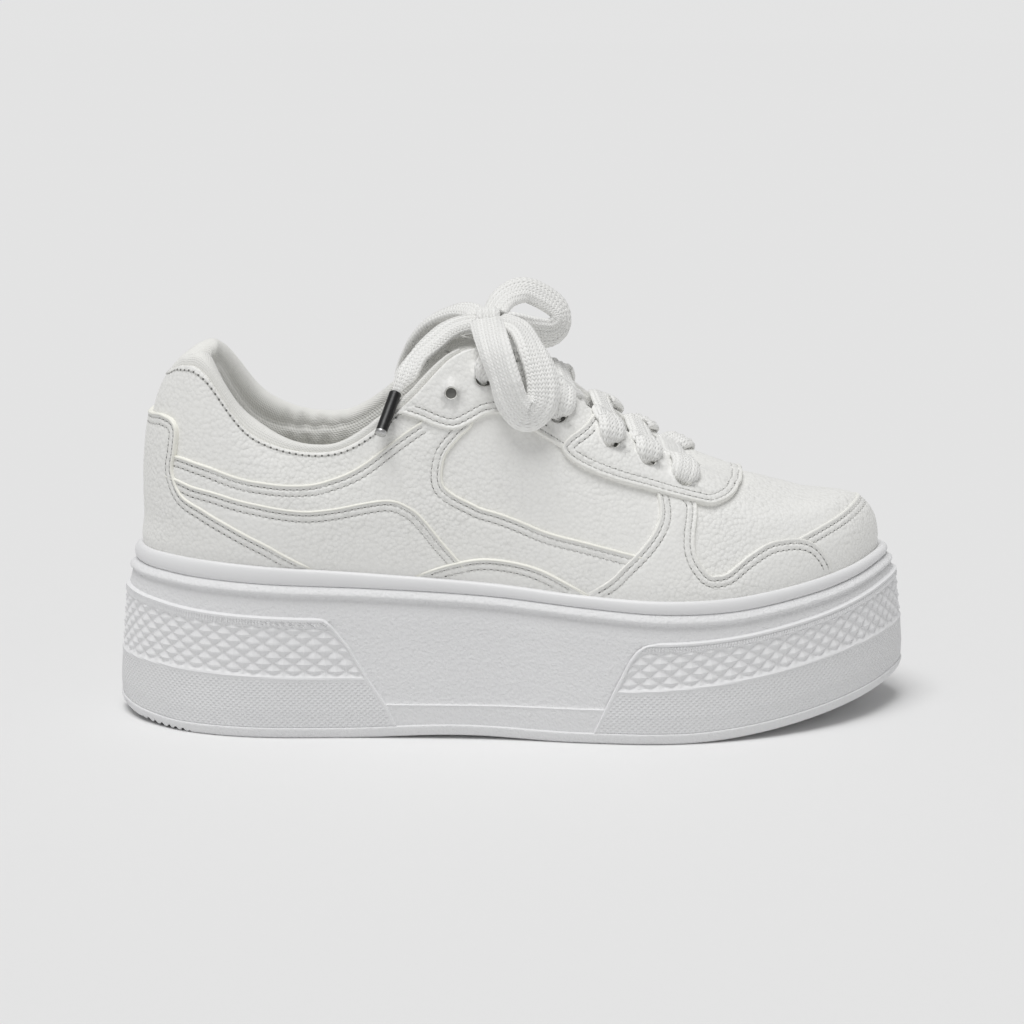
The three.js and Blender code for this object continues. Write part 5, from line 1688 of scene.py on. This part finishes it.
@dataclass
class Lacing:
    """The lace's crossings through the eyelets."""

    form: ShoeForm
    bench: Bench
    finishes: Finishes
    upper: Upper
    overs: tuple[float, ...] = (11.3, 10.5, 9.8, 9.1, 8.5, 7.95)
    width: float = 10.6

    def build(self) -> None:
        """Makes the straight bar and every crossing."""
        self.bar()
        for k in range(5):
            self.crossing(k)

    def place(self, u: float, s: float, out: float, side: Side) -> tuple[np.ndarray, np.ndarray]:
        """A point over the upper on one side, and its normal."""
        full = 2 * self.form.last
        uu = np.array([u if side is Side.LATERAL else full - u])
        ss = np.array([s])
        return self.form.surface(uu, ss, out)[0], self.form.normal(uu, ss)[0]

    def down(self, k: int, side: Side) -> list:
        """Stations over the throat's edge and down into eyelet k."""
        u, v = self.upper.eyelets[k]
        s = float(self.form.share(np.array([u]), np.array([v]))[0])
        over = self.overs[k]
        stations = []
        for share, out in ((0.0, 2.0), (0.33, 3.1), (0.62, 3.5), (0.84, 2.9), (0.97, 1.2), (1.0, -1.8)):
            stations.append(self.place(over + (u - over) * share, 1 + (s - 1) * share, out, side))
        return stations

    def tongue_top(self, x: float) -> float:
        """Height of the tongue's crown over x."""
        rows = np.array(sorted((r[0], r[1]) for r in Inside.tongue_rows))
        return float(np.interp(x, rows[:, 0], rows[:, 1]))

    def bar(self) -> None:
        """The first row, straight across between the front eyelets."""
        left, right = self.down(0, Side.LATERAL), self.down(0, Side.MEDIAL)
        x = (left[0][0][0] + right[0][0][0]) / 2
        z = max(self.tongue_top(x) + 2.0, left[0][0][2] + 0.4)
        middle = [(np.array([x, THROAT_Y, z]), unit(np.array([0.4, 0, 1.0])))]
        self.strand("lace_bar_braid", left[::-1] + middle + right, ("lace_bar",))

    def crossing(self, k: int) -> None:
        """The two strands that cross between eyelet rows k and k + 1."""
        points, faces, flats, total = [], [], [], 0
        for side in (Side.LATERAL, Side.MEDIAL):
            other = Side.MEDIAL if side is Side.LATERAL else Side.LATERAL
            lift = 0.0 if side is Side.LATERAL else 1.8
            start = self.overs[k] * 0.55 + self.overs[k + 1] * 0.45
            u = start + 0.1
            hidden, n0 = self.place(u, 0.9, -4.2, side)
            edge, n1 = self.place(u, 1.0, -3.4, side)
            end = self.down(k + 1, other)
            mid = (edge + end[0][0]) / 2
            crown = self.tongue_top(mid[0]) + 0.4 + lift
            middle = np.array([mid[0], THROAT_Y, max(crown, mid[2] - 0.8)])
            stations = [(hidden, n0), (edge, n1), (middle, unit(np.array([0.5, 0, 1.0])))] + end
            p, f, flat, _ = self.ribbon(stations).mesh()
            points.append(p)
            flats.append(flat)
            faces += [[v + total for v in face] for face in f]
            total += len(p)
        self.bench.piece(f"lace_crossing_{k + 1}_braid", np.concatenate(points), faces,
                         self.finishes.lace, Slot.LACE, (f"lace_crossing_{k + 1}",),
                         np.concatenate(flats))

    def ribbon(self, stations: list) -> Ribbon:
        """A ribbon through stations."""
        return Ribbon([s[0] for s in stations], [s[1] for s in stations], self.width)

    def strand(self, name: str, stations: list, stands_for: tuple[str, ...]) -> None:
        """Makes one strand as a piece of its own."""
        points, faces, flat, _ = self.ribbon(stations).mesh()
        self.bench.piece(name, points, faces, self.finishes.lace, Slot.LACE, stands_for, flat)


@dataclass
class Bow:
    """Knot, two loops and two ends with their tips, as free cords."""

    form: ShoeForm
    bench: Bench
    finishes: Finishes
    centre_y: float = THROAT_Y
    near_loop_width: float = 11.6
    far_loop_width: float = 10.8
    end_width: float = 8.8
    loop_lateral: tuple = ((-5, -8, 141), (2, -18, 140), (6.8, -28.5, 134), (10.2, -34, 125),
                           (10, -36.5, 117), (5, -38, 112.8), (0.2, -38.5, 117.5), (-2.6, -38, 126),
                           (-6, -33.5, 135.5), (-9, -19, 142.5))
    loop_medial: tuple = ((-6.5, -0.5, 143), (-2.5, 5, 148), (4, 10, 150.2), (11, 12.5, 147.5),
                          (16.5, 13.5, 143), (17.2, 12.5, 137.8), (13, 10, 134.8),
                          (6, 5.5, 136.4), (-0.5, 1.5, 138.8), (-5, -1, 139.5))
    end_lateral: tuple = ((-12, -4.5, 140.2), (-17.5, -7, 139.9), (-22.5, -10, 138.2),
                          (-27.5, -14.5, 134.6), (-32.6, -19, 130), (-36.4, -23, 124.8),
                          (-39.6, -27, 119.9))
    end_medial: tuple = ((-11.5, -1, 141.5), (-14.5, 4, 143.2), (-20.5, 10, 142.4),
                         (-28.2, 16, 138), (-33.6, 21.5, 131.6), (-37, 27.2, 125.2),
                         (-39.5, 33, 118.6), (-41, 36.4, 110.5), (-41.8, 38, 104))
    aglet_lateral: tuple = ((-40.1, -27.8, 119), (-45, -38, 106.3))
    aglet_medial: tuple = ((-41.9, 38.2, 103.2), (-43, 39.6, 87))

    def build(self) -> None:
        """Makes the bow."""
        up, near = (0.0, -0.45, 0.9), (0.25, -1.0, 0.25)
        knot = self.knot()
        self.cord("loop_lateral", self.loop_lateral,
                  [(0.2, -0.6, 0.8), (0.6, -0.8, 0.5), (0.6, -0.9, 0.2), (0.5, -1, 0), (0.2, -1, -0.2),
                   (0, -1, -0.3), (-0.3, -1, 0), (-0.5, -0.9, 0.1), (-0.4, -0.8, 0.4),
                   (0, -0.5, 0.9)], [knot], "object")
        self.cord("loop_medial", self.loop_medial,
                  [(-0.5, -0.6, 0.7), (-0.5, -0.6, 0.7), (-0.1, -0.7, 0.7), (0.4, -0.7, 0.6),
                   (0.8, -0.6, 0.3), (0.8, -0.6, -0.2), (0.3, -0.8, -0.5), (0, -0.85, -0.5),
                   (0, -0.85, -0.5), (0, -0.85, -0.5)], [], "object")
        near_tip = self.aglet("aglet_lateral", self.aglet_lateral)
        far_tip = self.aglet("aglet_medial", self.aglet_medial)
        inside = (np.array(self.aglet_lateral[1]) - self.aglet_lateral[0]) * 0.55
        into = self.aglet_lateral[0] + inside
        self.cord("lace_end_lateral", (*self.end_lateral, tuple(into)),
                  [up, (-0.3, -0.7, 0.8), (-0.4, -0.8, 0.6), (-0.5, -0.9, 0.5), (-0.6, -0.8, 0.4),
                   (-0.7, -0.7, 0.3), near, near], [near_tip], "fitting", taper=True,
                  hidden=float(np.linalg.norm(inside)))
        self.cord("lace_end_medial", (*self.end_medial, self.aglet_medial[0]),
                  [up, (-0.1, -0.4, 1), (-0.3, 0, 1), (-0.5, 0.3, 0.8), (-0.7, 0.4, 0.6),
                   (-0.8, 0.5, 0.4), (-0.9, 0.4, 0.2), (-1, 0.3, 0.1), (-1, 0.2, 0), (-1, 0.2, 0)],
                  [far_tip], "fitting", taper=True)

    def lifted(self, points: tuple) -> list:
        """The bow's points moved on to the middle line of the throat."""
        return [(x, y + self.centre_y, z) for x, y, z in points]

    def cord(self, node: str, route: tuple, looks: list, with_pieces: list, far_end: str,
             taper: bool = False, hidden: float = 0.0) -> None:
        """Makes one free cord and says what it is.

        Args:
            node: The frame's node that it replaces.
            route: Its middle line.
            looks: The way its flat face looks at each point.
            with_pieces: Pieces that are on it.
            far_end: What its far end is.
            taper: Whether it narrows into its tip.
            hidden: Length of it that is inside the tip.
        """
        loop_width = self.near_loop_width if node == "loop_lateral" else self.far_loop_width
        width = self.end_width if taper else loop_width
        ribbon = Ribbon(self.lifted(route), looks, width, 4.4, round_ends=False)
        points, faces, flat, line = ribbon.mesh()
        if taper:
            run = np.concatenate([[0], np.cumsum(np.linalg.norm(np.diff(line, axis=0), axis=1))])
            left = run[-1] - run - hidden
            share = 0.34 + 0.66 * smooth(0, 10, left)
            points = (line[:, None] + (points.reshape(len(line), -1, 3) - line[:, None])
                      * share[:, None, None]).reshape(-1, 3)
        made = self.bench.piece(f"{node}_braid", points, faces, self.finishes.lace, Slot.LACE,
                                (node,), flat)
        path = (line + self.form.shift) * MM
        length = float(np.linalg.norm(np.diff(path, axis=0), axis=1).sum())
        LOG.info("%s is %.1f mm long", node, length / MM)
        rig.cord(made, exit=tuple(path[0]), length=length, diameter=width * MM,
                far_end=far_end, stiffness="limp", lay="loose",
                path=path[::2].tolist() + [path[-1].tolist()], with_pieces=with_pieces)

    def knot(self) -> bpy.types.Object:
        """The short turn of lace that grips the bow."""
        turn = np.linspace(0, 2 * np.pi, 15)[:-1]
        route, looks = [], []
        for a in turn:
            out = np.array([0.12 * math.cos(a), -0.8 * math.cos(a), math.sin(a)])
            route.append(np.array([-8.5, -4 + self.centre_y, 140.4]) + out * [1, 5.2, 4.0])
            looks.append(out)
        ribbon = Ribbon([*route, route[0]], [*looks, looks[0]], 8.4, 3.4, round_ends=False)
        points, faces, flat, _ = ribbon.mesh()
        return self.bench.piece("knot_braid", points, faces, self.finishes.lace, Slot.LACE,
                                ("knot",), flat)

    def aglet(self, node: str, ends: tuple) -> bpy.types.Object:
        """A lacquered tip with a crimped mouth and a bare metal end."""
        a, b = (np.array(p, float) + [0, self.centre_y, 0] for p in ends)
        axis = unit(b - a)
        length = float(np.linalg.norm(b - a))
        side = unit(np.cross(axis, [0.0, 0.0, 1.0]))
        up = np.cross(side, axis)
        profile = ((0.0, 1.5, 0), (0.0, 1.95, 0), (0.4, 2.02, 0), (1.1, 2.0, 0), (1.6, 1.96, 0),
                   (length * 0.4, 1.95, 0), (length - 1.6, 1.9, 0), (length - 1.3, 1.92, 1),
                   (length - 0.4, 1.85, 1), (length - 0.1, 1.6, 1), (length, 1.1, 1), (length, 0.3, 1))
        n = 28
        angle = np.linspace(0, 2 * np.pi, n, endpoint=False)
        rings, bare = [], []
        for run, radius, metal in profile:
            rings.append(a + axis * run + (np.cos(angle)[:, None] * side * 1.08
                                           + np.sin(angle)[:, None] * up) * radius)
            bare.append(np.full(n, float(metal)))
        faces = Bench.grid(len(rings), n, closed=True)
        faces.append([(len(rings) - 1) * n + k for k in range(n)])
        return self.bench.piece(f"{node}_tip", np.concatenate(rings), faces, self.finishes.tip,
                                Slot.AGLET, (node,), marks={"bare": np.concatenate(bare)})


# ---------------------------------------------------------------------------- studio


@dataclass
class Studio:
    """Camera, soft light and pale paper."""

    eye: tuple[float, float, float] = (-0.0008, -0.850, 0.250)
    target: tuple[float, float, float] = (-0.0008, 0.0, 0.0715)
    lens: float = 85.07
    paper_half: float = 60.0
    paper_flat: float = 20.0
    paper_slope: float = 0.04
    key_strength: float = 1.9
    ambient: float = 0.365

    def camera(self) -> None:
        """Places the camera."""
        data = bpy.data.cameras.new("camera")
        data.lens, data.sensor_width = self.lens, 36.0
        data.clip_start, data.clip_end = 0.01, 200.0
        camera = bpy.data.objects.new("camera", data)
        bpy.context.scene.collection.objects.link(camera)
        camera.location = self.eye
        way = Vector(self.target) - Vector(self.eye)
        camera.rotation_euler = way.to_track_quat("-Z", "Y").to_euler()
        bpy.context.scene.camera = camera

    def light(self) -> None:
        """Sets a broad key from above and even light all round."""
        data = bpy.data.lights.new("key", "SUN")
        data.energy, data.angle = self.key_strength, math.radians(34)
        light = bpy.data.objects.new("key", data)
        bpy.context.scene.collection.objects.link(light)
        light.rotation_euler = Vector((0.14, 0.24, -1.0)).to_track_quat("-Z", "Y").to_euler()
        world = bpy.data.worlds.new("studio")
        world.use_nodes = True
        world.node_tree.nodes["Background"].inputs[0].default_value = (1, 1, 1, 1)
        world.node_tree.nodes["Background"].inputs[1].default_value = self.ambient
        bpy.context.scene.world = world
        bpy.context.scene.view_settings.view_transform = "Standard"

    def floor(self) -> None:
        """Lays the paper, level round the shoe and rising gently far away."""
        mesh = bpy.data.meshes.new("paper")
        n = 9
        axis = np.linspace(-self.paper_half, self.paper_half, n)
        points = [(x, y, self.paper_slope * max(math.hypot(x, y) - self.paper_flat, 0))
                  for y in axis for x in axis]
        mesh.from_pydata(points, [], Bench.grid(n, n))
        mesh.materials.append(StudioPaper().make())
        floor = bpy.data.objects.new("paper", mesh)
        bpy.context.scene.collection.objects.link(floor)
        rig.stage(floor)


def corners() -> list[list[float]]:
    """Lowest and highest corner of what shows, as plain numbers."""
    return [[float(x) for x in corner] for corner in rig.bounds()]


def main() -> None:
    """Builds the studio and every piece of the shoe."""
    logging.basicConfig(level=logging.INFO, format="%(name)s: %(message)s")
    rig.load()
    before = corners()
    studio = Studio()
    studio.camera()
    form = ShoeForm()
    low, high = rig.box("outsole")
    at = np.arange(4 * form.rows) / 2
    own = form.sole(at, np.full(len(at), 1.0))
    own_middle = (own.min(0) + own.max(0)) / 2
    middle = (np.array(low) + np.array(high))[:2] / 2 / MM
    form.shift = np.array([*(middle - own_middle), 0.0])
    LOG.info("shift %s", form.shift)
    bench, finishes = Bench(form), Finishes()
    Bow(form, bench, finishes).build()
    Sole(form, bench, finishes).build()
    upper = Upper(form, bench, finishes)
    upper.build()
    Inside(form, bench, finishes).build()
    Lacing(form, bench, finishes, upper).build()
    studio.light()
    studio.floor()
    sizes = {"cad": before, "visual": corners()}
    with open("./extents.json", "w") as handle:
        json.dump(sizes, handle)


if __name__ == "__main__":
    main()
